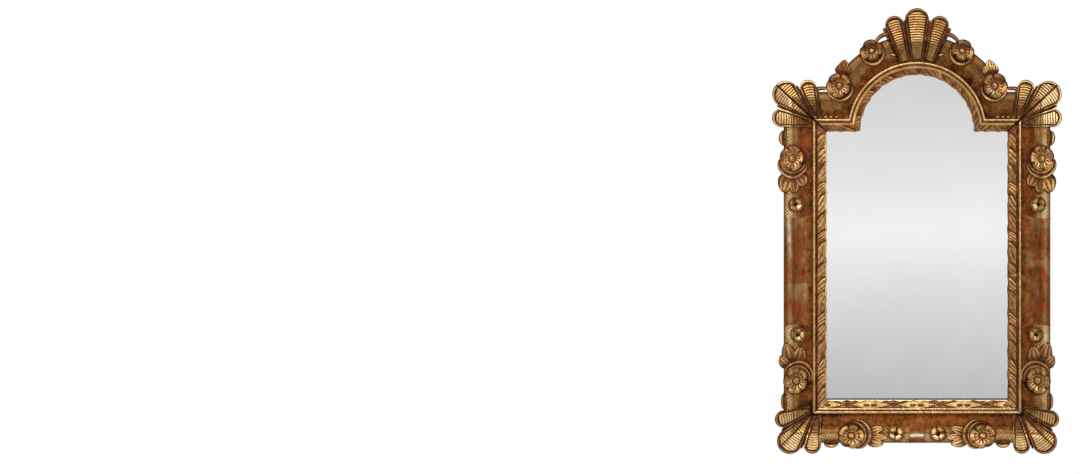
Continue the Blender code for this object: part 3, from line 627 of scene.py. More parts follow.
class MIRROR_OT_members(bpy.types.Operator):
    """Build the stiles, the bottom rail and the arched top rail"""
    bl_idname = "mirror.members"
    bl_label = "Members"

    def execute(self, context):
        face = FrameFace(context.scene.mirror_frame)
        section = member_section(face)
        spots = motif_spots(face, context.scene.mirror_carving)
        gilding = gilt_material(context.scene, "gilt_frame")

        def stile_relief(u, x, z, part):
            bend = panel_bend(u)
            upper = ease(z - bend, PANEL_TOP - PANEL_STEP, PANEL_TOP + PANEL_STEP)
            lower = 1 - ease(z + bend, PANEL_FOOT - PANEL_STEP, PANEL_FOOT + PANEL_STEP)
            return carved_ground(face, spots, u, x, z, part, np.maximum(upper, lower), z)

        def rail_relief(u, x, z, part):
            end = PANEL_HALF + panel_bend(u)
            carved = ease(np.abs(x), end - PANEL_STEP, end + PANEL_STEP)
            return carved_ground(face, spots, u, x, z, part, carved, x)

        def crown_relief(u, x, z, part):
            run = crown_run(face, u, x, z)
            carved = np.ones_like(u)
            # Painted shade: the hatched ground is darker on the right half of the arch.
            leaf = ARCH_LEAF - ARCH_RIGHT_SHADE * (x > 0)
            return carved_ground(face, spots, u, x, z, part, carved, run, ARCH_GROUND_START, leaf)

        members = (
            ("left_stile", partial(face.stile, side=-1), STILE_ROWS, stile_relief),
            ("right_stile", partial(face.stile, side=1), STILE_ROWS, stile_relief),
            ("bottom_rail", face.rail, RAIL_ROWS, rail_relief),
            ("arch_rail", face.crown, CROWN_ROWS, crown_relief),
        )
        for node, place, rows, relief in members:
            bm = bmesh.new()
            sweep(bm, section, place, rows, relief)
            add_piece(bm, node + "_gilded", node, gilding)
        return {"FINISHED"}


# The sight moulding: a bead, and overlapping leaves or strapwork inside a wavy sight edge

STRAP_ROWS = 480
ARCH_STRIP_ROWS = 500
STILE_STRIP_ROWS = 580
BEAD_STEPS = 15
BAND_STEPS = 46
CROWN_WANDER = 0.0007
STILE_WANDER = 0.0006
BAND_RELIEF = 0.0034
BARB_PITCH = 0.0125
BAND_END = 0.0192
FILLET_START = 0.0176
SIGHT_BEAD = 0.0026
STRAP_PITCH = 0.105
STRAP_HALF = 0.038
STRAP_SWELL = 0.0066
STRAP_LINE = 0.0020
HOLLOW_PLACE = (0.0085, 0.0012)
HOLLOW_RADII = (0.0068, 0.0030)
LOZENGE_RADII = (0.0125, 0.0058)
CROWN_LEAF_STRETCH = 1.6
MOULDING_GAP = 0.0003
LIP_RISE = 0.006
BAND_RISE = 0.007
BEAD_SINK = 0.0015
BEAD_RISE = 0.004
UPPER_LEVEL = 0.3
RED_BEAD = (0.40, 0.06)


class Strip(NamedTuple):
    """One length of the sight moulding: its sweep, its ornament, and the levels of wear and painted light of
    its parts.
    """
    label: str
    place: object
    rows: int
    run_at: object
    ornament: object
    pitch: float
    tone: float
    fillet: float
    fillet_start: float
    groove: float
    # Level of the uneven strip beside the glass, painted lighter or darker as the light falls on each side
    sight: float


def across_run(u, x, z):
    """Distance along the bottom rail."""
    return x


def upright_run(u, x, z):
    """Distance along a stile."""
    return z


def leaf_band(run, v, pitch):
    """Height of the overlapping leaves, from 0 in the hollows to 1 on the ridges."""
    off = v - (SIGHT_BEAD + BAND_END) / 2
    uneven = 0.0045 * wave(run, 0.107) + 0.0030 * wave(run, 0.061, 1.0)
    place = run + uneven + 0.95 * off + 55 * off * off
    count = np.floor(place / pitch)
    share = place / pitch - count
    bright = 0.5 + 0.5 * np.sin(2.4 * count + 1.0)
    body = (0.40 + 0.16 * share) * ease(share, 0.02, 0.18) - 0.08 * bright * hump(off, 0.003, 0.004)
    tip = hump(share, 0.92, 0.07) * (0.06 + 0.30 * bright)
    turn = np.pi * (run + 1.5 * uneven + 1.15 * off) / BARB_PITCH + 0.85 * count
    barbs = 2 * np.abs(np.sin(turn)) ** 0.7 - 1.2
    return np.clip(body + tip + (0.10 + 0.18 * bright * ease(share, 0.10, 0.50)) * barbs, 0.0, 1.0)


def strap_band(run, v, pitch):
    """Height of the strapwork: pointed cartouches with two hollows, and lozenges between them."""
    middle = (SIGHT_BEAD + FILLET_START) / 2
    place = run - np.round(run / pitch) * pitch
    across = np.abs(v - middle)
    share = np.clip(np.abs(place) / STRAP_HALF, 0.0, 1.0)
    outline = STRAP_SWELL * (1 - share ** 1.8)
    frame_line = hump(across - outline, 0.0, STRAP_LINE) * (np.abs(place) < STRAP_HALF)
    hollow = ((np.abs(place) - HOLLOW_PLACE[0]) / HOLLOW_RADII[0]) ** 2
    hollow = hollow + ((v - middle - HOLLOW_PLACE[1]) / HOLLOW_RADII[1]) ** 2
    inside = 0.62 * (across < outline) * ease(hollow, 0.7, 1.2)
    off = np.abs(np.abs(place) - pitch / 2) / LOZENGE_RADII[0] + across / LOZENGE_RADII[1]
    lozenge = hump(off, 1.0, 0.22) + 0.75 * hump(off, 0.0, 0.25)
    link = 0.45 * hump(across, 0.0050, 0.0014) * (share >= 1.0)
    return np.maximum.reduce([frame_line, inside, np.minimum(lozenge, 1.0), link])


def sight_edge(run, v):
    """The uneven strip beside the glass, 1 on it and 0 off it."""
    edge = SIGHT_BEAD + 0.0007 * wave(run, 0.022) + 0.0006 * wave(run, 0.047)
    return 1 - ease(v, edge - 0.0006, edge + 0.0006)


def wandering(place, waves, reach):
    """Let the sight edge of a moulding wander a little on its way, as hand work does."""
    def shifted(u, along):
        held = ease(np.minimum(along, 1 - along), 0.0, 0.04) * (1 - ease(u, 0.0, 0.006))
        turn = 2 * np.pi * waves * along
        return place(u - reach * held * (np.sin(turn) + 0.6 * np.sin(1.7 * turn + 1.0)), along)
    return shifted


def moulding_section(face, depth):
    """Outline of the sight moulding with a groove this deep, as (u, h, part): 0 seat, 1 band, 2 bead."""
    seat = face.ledge_height + MOULDING_GAP
    lip = seat + LIP_RISE
    band_top = lip + BAND_RISE
    groove = band_top - depth
    outer = face.ledge - MOULDING_GAP
    start = outer - face.bead
    points = [(0.0, seat, 0.0), (outer, seat, 0.0)]
    for angle in np.linspace(0.0, math.pi, BEAD_STEPS):
        u = start + face.bead / 2 * (1 + math.cos(angle))
        points.append((u, band_top - BEAD_SINK + BEAD_RISE * math.sin(angle), 2.0))
    points.append((start - MOULDING_GAP, groove, 0.0))
    points.append((face.band + 2 * MOULDING_GAP, groove, 0.0))
    for u in np.linspace(face.band, 0.0, BAND_STEPS):
        points.append((u, lip + BAND_RISE * u / face.band, 1.0))
    return points


def band_relief(face, strip):
    """Relief and marks of one length of the sight moulding."""
    def shape(u, x, z, part):
        on_band = (part > 0.5) & (part < 1.5)
        on_bead = part > 1.5
        run = strip.run_at(u, x, z)
        away = mitre_distance(face, x, z)
        upper = z > UPPER_LEVEL
        waver = hand_waver(2 * x, 2 * z)
        sight = sight_edge(run, u)
        fillet = strip.fillet * ease(u, strip.fillet_start, strip.fillet_start + 0.001)
        height = strip.ornament(run, u, strip.pitch)
        height = height * (1 - (1 - strip.fillet) * ease(u, BAND_END - 0.0010, BAND_END))
        corner_leaf = 0.85 * hump(away, 0.0, 0.0042) * (u < strip.fillet_start)
        height = np.maximum(height * ease(away, 0.004, 0.009), corner_leaf)
        height = np.maximum.reduce([height * (1 - sight), fillet, 0.95 * sight])
        crack = hump(away, 0.0, np.where(upper, 1.4, 1.0) * MITRE_CRACK) * np.where(upper, 1.0, 0.35)
        lift = np.where(on_band, BAND_RELIEF * (height - 0.8) * ease(u, 0.0, 0.0008), 0.0)
        lift += np.where(on_bead, 0.00018 * hand_waver(4 * x, 4 * z), 0.0)
        lift -= np.where(part > 0.5, 0.0018 * crack, 0.0)
        wear = np.where(on_bead, 0.68 + 0.08 * waver, 0.07 + 0.13 * strip.fillet)
        # The band's level carries painted light: its tone and the strip beside the glass
        band_wear_and_light = strip.tone + 0.52 * height + 0.06 * waver
        band_wear_and_light = band_wear_and_light + (strip.sight - band_wear_and_light) * sight
        wear = np.where(on_band, band_wear_and_light, wear) * (1 - crack) - OLD_CRACK * crack
        red = np.where(on_band, 0.42 * (1 - height), 0.8 * on_bead * (x > 0) * hump(z, *RED_BEAD))
        return lift, {"wear": np.clip(wear, -0.3, 1.0), "bole": red}
    return shape


class MIRROR_OT_sight_moulding(bpy.types.Operator):
    """Build the bead and the carved leaf band round the glass"""
    bl_idname = "mirror.sight_moulding"
    bl_label = "Sight Moulding"

    def execute(self, context):
        face = FrameFace(context.scene.mirror_frame)
        pitch = context.scene.mirror_carving.leaf_pitch
        gilding = gilt_material(context.scene, "gilt_carving")
        strips = [
            Strip(
                "bottom", face.rail, STRAP_ROWS, across_run, strap_band, STRAP_PITCH,
                # The bottom band's higher tone and pale sight strip are painted light, on a band that faces
                # up.
                tone=0.30, fillet=1.0, fillet_start=FILLET_START, groove=0.0018, sight=0.84,
            ),
            Strip(
                "arch", wandering(face.crown, 19, CROWN_WANDER), ARCH_STRIP_ROWS, partial(crown_run, face),
                leaf_band, CROWN_LEAF_STRETCH * pitch,
                tone=0.15, fillet=1.0, fillet_start=0.0135, groove=0.0018, sight=0.50,
            ),
        ]
        # Painted light: the strip beside the glass is pale on the left stile and dull on the right.
        for label, side, waves, sight in (("left", -1, 16, 0.72), ("right", 1, 13, 0.40)):
            place = wandering(partial(face.stile, side=side), waves, STILE_WANDER)
            strips.append(Strip(
                label, place, STILE_STRIP_ROWS, upright_run, leaf_band, pitch,
                tone=0.22, fillet=0.0, fillet_start=FILLET_START, groove=0.0024, sight=sight,
            ))
        for strip in strips:
            bm = bmesh.new()
            sweep(bm, moulding_section(face, strip.groove), strip.place, strip.rows, band_relief(face, strip))
            node = strip.label + "_sight_moulding"
            add_piece(bm, node + "_carved", node, gilding)
        return {"FINISHED"}


# Shells: fans of ribbed lobes with a rolled rim, and narrow pointed fillets between them

TENDRIL_HALF = 0.0050
TENDRIL_BOW = 0.009
TENDRIL_DEPTH = 0.010
LOBE_EDGE = 0.0026
LOBE_PANEL = 0.0034
RIM_RISE = 0.0042


class ShellFan(NamedTuple):
    """Lobes and fillets that spread from one point, and the levels of wear and painted light of their rims
    and fields.
    """
    face: FrameFace
    sizes: MirrorCarvingSizes
    centre: tuple
    base: float
    lobes: tuple
    fillets: tuple
    turn: tuple
    side: int
    rim_wear: float
    field_wear: float
    rim_bole: float = 0.0
    rim_shares: tuple = (0.34, 0.62)
    rib_start: float = 0.14
    flare: float = 0.0

    def limits(self):
        """First and last angle of the whole fan."""
        bands = [lobe[:2] for lobe in self.lobes] + [fillet[:2] for fillet in self.fillets]
        return min(band[0] for band in bands), max(band[1] for band in bands)

    def flared(self, x, z, angle, along):
        """Let the outermost lobes start wide of the centre."""
        first, last = self.limits()
        for edge, inner, way in ((first, self.lobes[0].last, -1), (last, self.lobes[-1].first, 1)):
            heading = math.radians(self.turn[0] + self.turn[1] * edge)
            share = np.clip((angle - inner) / (edge - inner), 0.0, 1.0)
            aside = way * self.turn[1] * self.flare * share * (1 - along)
            x = x - aside * math.sin(heading)
            z = z + aside * math.cos(heading)
        return x, z

    def fields(self, angle, along):
        """Radius, lift, wear with painted light and shade, and bole at an angle, a share of the way from the
        base to the rim.
        """
        rim = np.full_like(angle, self.base)
        lift = np.full_like(angle, LOBE_EDGE)
        wear = np.full_like(angle, 0.10)
        bole = np.zeros_like(angle)
        for first, last, point in self.fillets:
            share = (2 * angle - first - last) / (last - first)
            inside = np.abs(share) <= 1.001
            rim = np.where(inside, point * (1 - 0.014 * share ** 4), rim)
            ridge = (1 - share * share) * ease(along, 0.05, 0.6)
            lift = np.where(inside, LOBE_EDGE + 0.0010 * ridge, lift)
            wear = np.where(inside, 0.03 + 0.12 * ridge * along, wear)
            bole = np.where(inside, 0.18 * ridge, bole)
        for lobe in self.lobes:
            half = math.radians(lobe.last - lobe.first) / 2
            turned = np.radians(angle - (lobe.first + lobe.last) / 2)
            inside = np.abs(turned) <= half + 1e-6
            reach = lobe.tip / (1 + math.sin(half))
            bow = np.sqrt(np.maximum(0.0, math.sin(half) ** 2 - np.sin(turned) ** 2))
            rim = np.where(inside, reach * (np.cos(turned) + bow), rim)
            parts = self.lobe(lobe, rim, half, turned, along)
            lift = np.where(inside, parts[0], lift)
            wear = np.where(inside, parts[1], wear)
            bole = np.where(inside, parts[2], bole)
        return self.base + (rim - self.base) * along, lift, wear, bole

    def lobe(self, lobe, rim, half, turned, along):
        """Lift, wear with painted light and shade, and bole of one lobe: a rolled rim, a groove, and a panel
        with bowed cross ribs.
        """
        sizes = self.sizes
        radius = self.base + (rim - self.base) * along
        away = np.abs(turned)
        side_width = sizes.rim_width * (self.rim_shares[0] + self.rim_shares[1] * along)
        from_side = radius * np.sin(np.maximum(0.0, half - away)) / side_width
        from_tip = (rim - radius) / sizes.rim_width
        edge = np.minimum(from_side, from_tip)
        roll = half_round(2 * np.clip(edge, 0.0, 1.0) - 1)
        share = away / half
        panel = ease(edge, 0.95, 1.45)
        ribbed = panel * ease(along, self.rib_start, self.rib_start + 0.30)
        rib = np.abs(np.sin(np.pi * (radius - self.base - lobe.sag * share * share) / sizes.rib_pitch)) ** 0.6
        strength = 0.35 + 0.65 * along
        lift = LOBE_EDGE + RIM_RISE * strength * roll
        lift += LOBE_PANEL * strength * panel * (1.15 - 0.55 * share * share)
        lift += sizes.rib_depth * ribbed * (rib - 0.8)
        # Painted highlight along the crest of the rim's roll, on the side rims as strong as each lobe asks.
        wear = self.rim_wear * (0.20 + 0.80 * roll ** 4) * np.where(from_side < from_tip, lobe.side, 1.0)
        # Painted light and shade: each half of the lobe is lighter or darker as the light falls on it.
        tone = lobe.low + (lobe.high - lobe.low) * ease(turned / half, -0.06, 0.06)
        field = self.field_wear + tone + 0.12 * (1 - share * share) + ribbed * (0.64 * rib - 0.40)
        wear = np.where(edge > 0.95, 0.04 + (field - 0.04) * panel, wear)
        # Painted shade at the lobe's foot; a foot above 1 paints light there instead.
        wear *= lobe.foot + (1 - lobe.foot) * ease(along, 0.12, 0.80 - 0.30 * lobe.foot)
        bole = np.where(edge > 0.95, 0.0, self.rim_bole)
        return lift, wear, bole

    def relief(self, first, last, mitre=None, depth=1.0):
        """Relief of the part of the fan between two angles."""
        def shape(across, along):
            angle = first + (last - first) * across
            radius, lift, wear, bole = self.fields(angle, along)
            x, z = polar(self.centre, self.turn[0] + self.turn[1] * angle, radius)
            x, z = self.flared(x, z, angle, along)
            if mitre is not None:
                crack = depth * hump(radius * np.radians(np.abs(angle - mitre)), 0.0, MITRE_CRACK)
                lift = lift - 0.0030 * crack
                wear = wear * (1 - crack)
            x = self.side * x
            top = self.face.bridged(x, z) + lift + 0.00025 * hand_waver(x, z)
            return x, z, top, self.face.seat(x, z), wear, bole
        return shape


def bow_point(points, share):
    """Points on a curve drawn by its start, its pull and its end."""
    start, pull, end = points
    rest = 1 - share
    return tuple(
        rest * rest * start[axis] + 2 * rest * share * pull[axis] + share * share * end[axis]
        for axis in (0, 1)
    )


def tendril_relief(face, root, tip, side):
    """Relief of a bowed strap that bridges from a shell to the next flower, clear of the edge."""
    middle = ((root[0] + tip[0]) / 2, (root[1] + tip[1]) / 2)
    away = math.degrees(math.atan2(middle[1] - face.springing, middle[0]))
    points = (root, polar(middle, away, TENDRIL_BOW), tip)

    def shape(across, along):
        x, z = bow_point(points, along)
        ahead = bow_point(points, along + 0.001)
        heading = np.arctan2(ahead[1] - z, ahead[0] - x)
        share = 2 * across - 1
        out = TENDRIL_HALF * share * (1 - 0.25 * along)
        x = side * (x - out * np.sin(heading))
        z = z + out * np.cos(heading)
        top = face.laid(x, z) + 0.0005 + 0.0030 * half_round(share)
        # Painted highlight along the middle of the strap.
        return x, z, top, top - TENDRIL_DEPTH, 0.12 + 0.34 * hump(share, 0.1, 0.45), 0.35

    return shape


def dome_relief(face, centre, radii, heading, lift, side):
    """Relief of a small oval pearl or roll."""
    def shape(across, along):
        turn = 2 * np.pi * across
        long = radii[0] * along * np.cos(turn)
        short = radii[1] * along * np.sin(turn)
        angle = math.radians(heading)
        x = side * (centre[0] + long * math.cos(angle) - short * math.sin(angle))
        z = centre[1] + long * math.sin(angle) + short * math.cos(angle)
        dome = half_round(along)
        # Painted highlight on the crown of the dome.
        return x, z, face.laid(x, z) + 0.0004 + lift * dome, face.seat(x, z), 0.24 + 0.56 * dome, 0.0

    return shape


# Crest shell: its centre lies below the arch's top. Roots and tips of tendrils are (heading, distance)
CREST_GRID = (300, 120)
CREST_DROP = 0.0594
CREST_BASE = 0.0653
CREST_TENDRIL_GRID = (12, 40)
CREST_TENDRIL_ROOT = (66.0, 0.162)
CREST_TENDRIL_HEADING = 112.0
CREST_TENDRIL_REACH = 0.76

# Corner shells
CORNER_GRID = (150, 100)
CORNER_BASE = 0.009
CORNER_FLARE = 0.016
MITRE_PART = 0.02
SHOULDER_TENDRIL_GRID = (12, 36)
SHOULDER_TENDRIL_ROOT = (94.0, 0.0655)
SHOULDER_TENDRIL_HEADING = -9.0
SHOULDER_TENDRIL_GAP = 0.0008

# Small rolls beside the crest shell and pearls beside the upper corner shells, as (x, z above the springing)
ROLL_GRID = (24, 8)
CREST_ROLL = (0.0525, 0.1705)
ROLL_RADII = (0.0085, 0.0026)
ROLL_HEADING = 8.0
ROLL_RISE = 0.0045
PEARL_GRID = (16, 6)
SHOULDER_PEARLS = (0.1815, 0.1935, 0.2050, 0.2170, 0.2285)
SHOULDER_PEARL_LEVEL = 0.0322
SHOULDER_PEARL_RADII = (0.0043, 0.0019)
STILE_PEARL = (0.2410, 0.0190)
STILE_PEARL_RADII = (0.0018, 0.0045)
PEARL_RISE = 0.0024


class MIRROR_OT_crest_shell(bpy.types.Operator):
    """Build the shell that crowns the arch, with its two tendrils and two small rolls"""
    bl_idname = "mirror.crest_shell"
    bl_label = "Crest Shell"

    def execute(self, context):
        face = FrameFace(context.scene.mirror_frame)
        sizes = context.scene.mirror_carving
        centre = (0.0, face.springing + face.radius - CREST_DROP)
        fan = ShellFan(
            face, sizes, centre, CREST_BASE + face.ledge * face.scale, CREST_LOBES, CREST_FILLETS, (90, 1), 1,
            rim_wear=0.46, field_wear=0.32, rim_bole=0.12, rim_shares=(0.64, 0.26), rib_start=0.12,
        )
        flower = face.arch_point(ARCH_UPPER_FLOWER)
        root = polar(centre, *CREST_TENDRIL_ROOT)
        tip = polar(flower, CREST_TENDRIL_HEADING, CREST_TENDRIL_REACH * sizes.flower_radius)
        roll = (CREST_ROLL[0], face.springing + CREST_ROLL[1])
        blocks = [(CREST_GRID, fan.relief(*fan.limits()))]
        for label, side in SIDES:
            blocks.append((CREST_TENDRIL_GRID, tendril_relief(face, root, tip, side)))
            blocks.append((ROLL_GRID, dome_relief(face, roll, ROLL_RADII, ROLL_HEADING, ROLL_RISE, side)))
        add_carving(context.scene, "crest_shell", *blocks)
        return {"FINISHED"}


class MIRROR_OT_corner_shells(bpy.types.Operator):
    """Build the four corner shells, each in two halves that part at the mitre"""
    bl_idname = "mirror.corner_shells"
    bl_label = "Corner Shells"

    def execute(self, context):
        face = FrameFace(context.scene.mirror_frame)
        sizes = context.scene.mirror_carving
        reach = face.ledge - face.bead / 2
        upper = face.springing + reach * face.scale
        corners = (
            ("upper", upper, 1, UPPER_LOBES, UPPER_FILLETS, face.scale, 1.0, 0.79),
            ("lower", face.bottom - reach, -1, LOWER_LOBES, LOWER_FILLETS, 1.0, 0.6, 0.58),
        )
        for label, side in SIDES:
            for level, height, way, lobes, fillets, slope, crack_depth, rim in corners:
                mitre = math.degrees(math.atan(slope))
                centre = (face.half + reach, height)
                fan = ShellFan(
                    face, sizes, centre, CORNER_BASE, lobes, fillets, (0, way), side,
                    rim_wear=rim, field_wear=0.54 + 0.03 * side * way, flare=CORNER_FLARE,
                )
                first, last = fan.limits()
                halves = {
                    "stile": [(CORNER_GRID, fan.relief(first, mitre - MITRE_PART, mitre, crack_depth))],
                    "rail": [(CORNER_GRID, fan.relief(mitre + MITRE_PART, last, mitre, crack_depth))],
                }
                if level == "upper":
                    halves["stile"].append(self.pearl(face, STILE_PEARL, STILE_PEARL_RADII, side))
                    halves["rail"] += self.garnish(face, sizes, centre, side)
                for member, blocks in halves.items():
                    add_carving(context.scene, "_".join((level, label, "corner_shell", member)), *blocks)
        return {"FINISHED"}

    def pearl(self, face, spot, radii, side):
        """One pearl, as a block of a carving."""
        centre = (spot[0], face.springing + spot[1])
        return PEARL_GRID, dome_relief(face, centre, radii, 0.0, PEARL_RISE, side)

    def garnish(self, face, sizes, centre, side):
        """Tendril to the next flower, and pearls along the shoulder."""
        flower = face.arch_point(ARCH_LOWER_FLOWER)
        root = polar(centre, *SHOULDER_TENDRIL_ROOT)
        tip = polar(flower, SHOULDER_TENDRIL_HEADING, sizes.flower_radius + SHOULDER_TENDRIL_GAP)
        blocks = [(SHOULDER_TENDRIL_GRID, tendril_relief(face, root, tip, side))]
        for x in SHOULDER_PEARLS:
            blocks.append(self.pearl(face, (x, SHOULDER_PEARL_LEVEL), SHOULDER_PEARL_RADII, side))
        return blocks


# Flowers, buds, leaves and scrolls

FLOWER_GRID = (210, 46)
BUD_GRID = (140, 32)
ARCH_COLLAR_GRID = (72, 14)
GROUP_COLLAR_GRID = (72, 28)
LEAF_GRID = (26, 56)
SCROLL_GRID = (72, 20)
LEVEL_SHARE = 0.5
FLOWER_BOSS = 0.26
FLOWER_RING = 0.295
FLOWER_COLLAR = 0.360
FLOWER_SWELL = 1.02
COLLAR_SPREAD = 160
COLLAR_START = 0.84
COLLAR_LAP = 0.14
ARCH_COLLAR = 0.0065
GROUP_COLLAR_SHARE = 0.8
ARCH_LEAF_FOOT = 0.92
GROUP_LEAF_GAP = 0.004
LEAF_GATHER = 0.70
LEAF_BOW = 0.0001
SCROLL_ROOT = 0.007
SCROLL_GAP = 0.001


def flat_top(face, centre, side, x, z):
    """Height that a flower lies on: the face, partly levelled up to its middle."""
    middle = float(face.laid(np.array([side * centre[0]]), np.array([centre[1]]))[0])
    laid = face.laid(x, z)
    return laid + LEVEL_SHARE * np.maximum(0.0, middle - laid)


class Bloom(NamedTuple):
    """Form of a large flower: size, side that turns down, petals, turn, its redness and tone, and the painted
    shade on its upper half.
    """
    radius: float
    lean: float
    petals: int
    notch: float
    spin: float
    red: float
    tone: float
    fade: float


def flower_relief(face, centre, bloom, flutes, side):
    """Relief of an open flower: a ringed boss in a dish of broad petals, with short cuts round the boss."""
    def shape(across, q):
        heading = 360 * across
        turn = np.radians(heading + bloom.spin)
        share = sector(bloom.petals, turn)
        rim = bloom.radius * (1 - bloom.notch * np.abs(share) ** 3)
        inward = np.cos(np.radians(heading - bloom.lean))
        rim = rim * (1 + 0.02 * np.sin(2 * turn + 90 * centre[1]) - 0.20 * np.maximum(0.0, inward) ** 1.5)
        boss = half_round(q / FLOWER_BOSS)
        ring = hump(q, FLOWER_RING, 0.034)
        collar = hump(q, FLOWER_COLLAR, 0.036)
        cut = hump(sector(flutes, turn), 0.0, 0.40)
        fluted = window(q, (0.37, 0.45), (0.57, 0.74))
        # Painted light: the cuts and the lip are lighter on one side of the flower and darker on the other.
        painted_light = 0.70 + 0.55 * np.sin(np.radians(heading) - 2.4)
        crease = hump(np.abs(share), 1.0, 0.16) * ease(q, 0.50, 0.85)
        lap = share * ease(q, 0.55, 0.85)
        pale = 0.5 + 0.5 * np.sin(2.1 * np.floor(bloom.petals * turn / (2 * np.pi)) + bloom.spin)
        body = 0.11 + 0.13 * boss - 0.04 * ring + 0.02 * collar - 0.045 * cut * fluted - 0.05 * crease
        lip = hump(q, 0.66, 0.07)
        body += 0.030 * lap + 0.09 * ease(q, 0.38, 0.72) + 0.035 * lip - 0.12 * ease(q, 0.88, 1.0)
        wear = 0.46 + bloom.tone + 0.16 * boss - 0.34 * ring + 0.08 * collar
        wear += fluted * (0.20 - 0.44 * cut) * painted_light
        wear += 0.10 * lap + 0.12 * lip * painted_light - 0.28 * crease - 0.50 * ease(q, 0.92, 1.0)
        wear += (0.22 * pale - 0.07) * ease(q, 0.60, 0.74)
        # Painted shade on the upper half of the dish.
        wear -= bloom.fade * ease(np.sin(np.radians(heading)), -0.3, 0.7) * ease(q, 0.28, 0.40)
        x, z = polar(centre, heading, rim * q)
        x = side * x
        top = flat_top(face, centre, side, x, z) + bloom.radius * body
        return x, z, top, face.seat(x, z), wear, bloom.red * boss + 0.20 * ease(q, 0.80, 0.95)

    return shape


def bud_relief(face, centre, radius, petals, spin, side):
    """Relief of a small flower in a ring: flat petals round a dark hole, a little off the middle."""
    def shape(across, q):
        heading = 360 * across
        turn = np.radians(heading + spin)
        share = sector(petals, turn)
        # Painted light: the petals are lighter on one side of the bud and darker on the other.
        painted_light = 0.84 + 0.34 * np.sin(np.radians(heading) - 2.9)
        gap = hump(np.abs(share), 1.0, 0.15) * (q < 0.82)
        swell = half_round((q - 0.50) / 0.34) * np.sqrt(1 - 0.45 * share * share)
        hole = 1 - ease(np.hypot(q * np.cos(turn) - 0.10, q * np.sin(turn)), 0.15, 0.25)
        ring = hump(q, 0.91, 0.06)
        body = 0.10 + 0.12 * swell - 0.05 * gap - 0.06 * hole + 0.05 * ring - 0.08 * ease(q, 0.95, 1.0)
        wear = 0.12 + 0.72 * swell ** 1.3 * painted_light - 0.34 * gap + 0.32 * ring
        x, z = polar(centre, heading, radius * q)
        x = side * x
        top = flat_top(face, centre, side, x, z) + radius * body
        return x, z, top, face.seat(x, z), wear * (1 - hole), 0.3 * ring

    return shape


def curl_relief(face, centre, radius, tail, heading, tiers, side):
    """Relief of the nested collars that peep out from under a flower."""
    def shape(across, along):
        turn = COLLAR_SPREAD * (across - 0.5)
        scallop = 0.90 + 0.10 * np.abs(np.cos(np.radians(turn * 2.6)))
        width = tail * np.cos(np.radians(turn * 1.08)) ** 0.8 * scallop
        x, z = polar(centre, heading + turn, radius * COLLAR_START + (radius * COLLAR_LAP + width) * along)
        x = side * x
        tier = np.mod(along * tiers * 0.999, 1.0)
        rim = hump(tier, 0.66, 0.26)
        lift = 0.0022 + 0.0030 * rim + 0.0022 * (1 - along) - 0.0020 * ease(along, 0.95, 1.0)
        wear = 0.03 + 0.20 * ease(tier, 0.05, 0.4) - 0.45 * ease(tier, 0.90, 1.0)
        # Painted highlight on the rim of each tier.
        wear += (0.70 - 0.08 * tiers) * rim * (0.55 + 0.45 * along)
        return x, z, face.laid(x, z) + lift, face.seat(x, z), wear, 0.35 * (1 - rim)

    return shape


def leaf_relief(face, foot, tip, width, bow, tone, side):
    """Relief of one pointed leaf with a midrib and flutes that run along it."""
    run = math.dist(foot, tip)
    heading = math.atan2(tip[1] - foot[1], tip[0] - foot[0])

    def shape(across, along):
        share = 2 * across - 1
        outline = np.sin(np.pi * np.clip(along, 0.0, 1.0) ** 0.85) ** 0.55
        half = width / 2 * (0.16 * (1 - along) + outline)
        off = bow * 4 * along * (1 - along) + half * share
        x = side * (foot[0] + run * along * math.cos(heading) - off * math.sin(heading))
        z = foot[1] + run * along * math.sin(heading) + off * math.cos(heading)
        flute = np.abs(np.cos(1.5 * np.pi * share)) ** 0.7
        edge = ease(np.maximum(np.abs(share), 2 * along - 1), 0.78, 1.0)
        lift = 0.0020 + 0.0026 * (1 - share * share) + 0.0020 * (flute - 0.5) + 0.0026 * along * along
        top = face.laid(x, z) + 0.0004 + lift * ease(along, 0.0, 0.45) - 0.0018 * edge
        # Painted highlight on the flutes, growing towards the tip.
        wear = 0.04 + (0.40 * flute + tone) * ease(along, 0.1, 0.6) + 0.26 * along - 0.38 * edge
        return x, z, top, face.seat(x, z), wear, 0.35 * (1 - flute) + 0.6 * (tone < 0)

    return shape


def scroll_relief(face, group, ends, side):
    """Relief of a C-scroll that swells from the outer edge."""
    def shape(across, along):
        place = ends[0] + (ends[1] - ends[0]) * across
        swell = group.scroll_swell * np.sqrt(np.sin(np.pi * np.clip(across, 0.0, 1.0)))
        u = face.width - SCROLL_ROOT + (SCROLL_ROOT + swell) * along
        x, z = face.group_point(group, (u, place))
        x = side * x
        rim = hump(along, 0.74, 0.20)
        groove = hump(along, 0.46, 0.10)
        lift = 0.0008 + 0.0036 * rim - 0.0016 * groove - 0.002 * ease(along, 0.93, 1.0)
        # Painted highlight along the rim, strongest at the middle of the scroll.
        wear = 0.34 - 0.30 * groove + 0.46 * rim * np.sin(np.pi * across) - 0.28 * ease(along, 0.90, 1.0)
        return x, z, face.laid(x, z) + lift, face.seat(x, z), wear, 0.0

    return shape


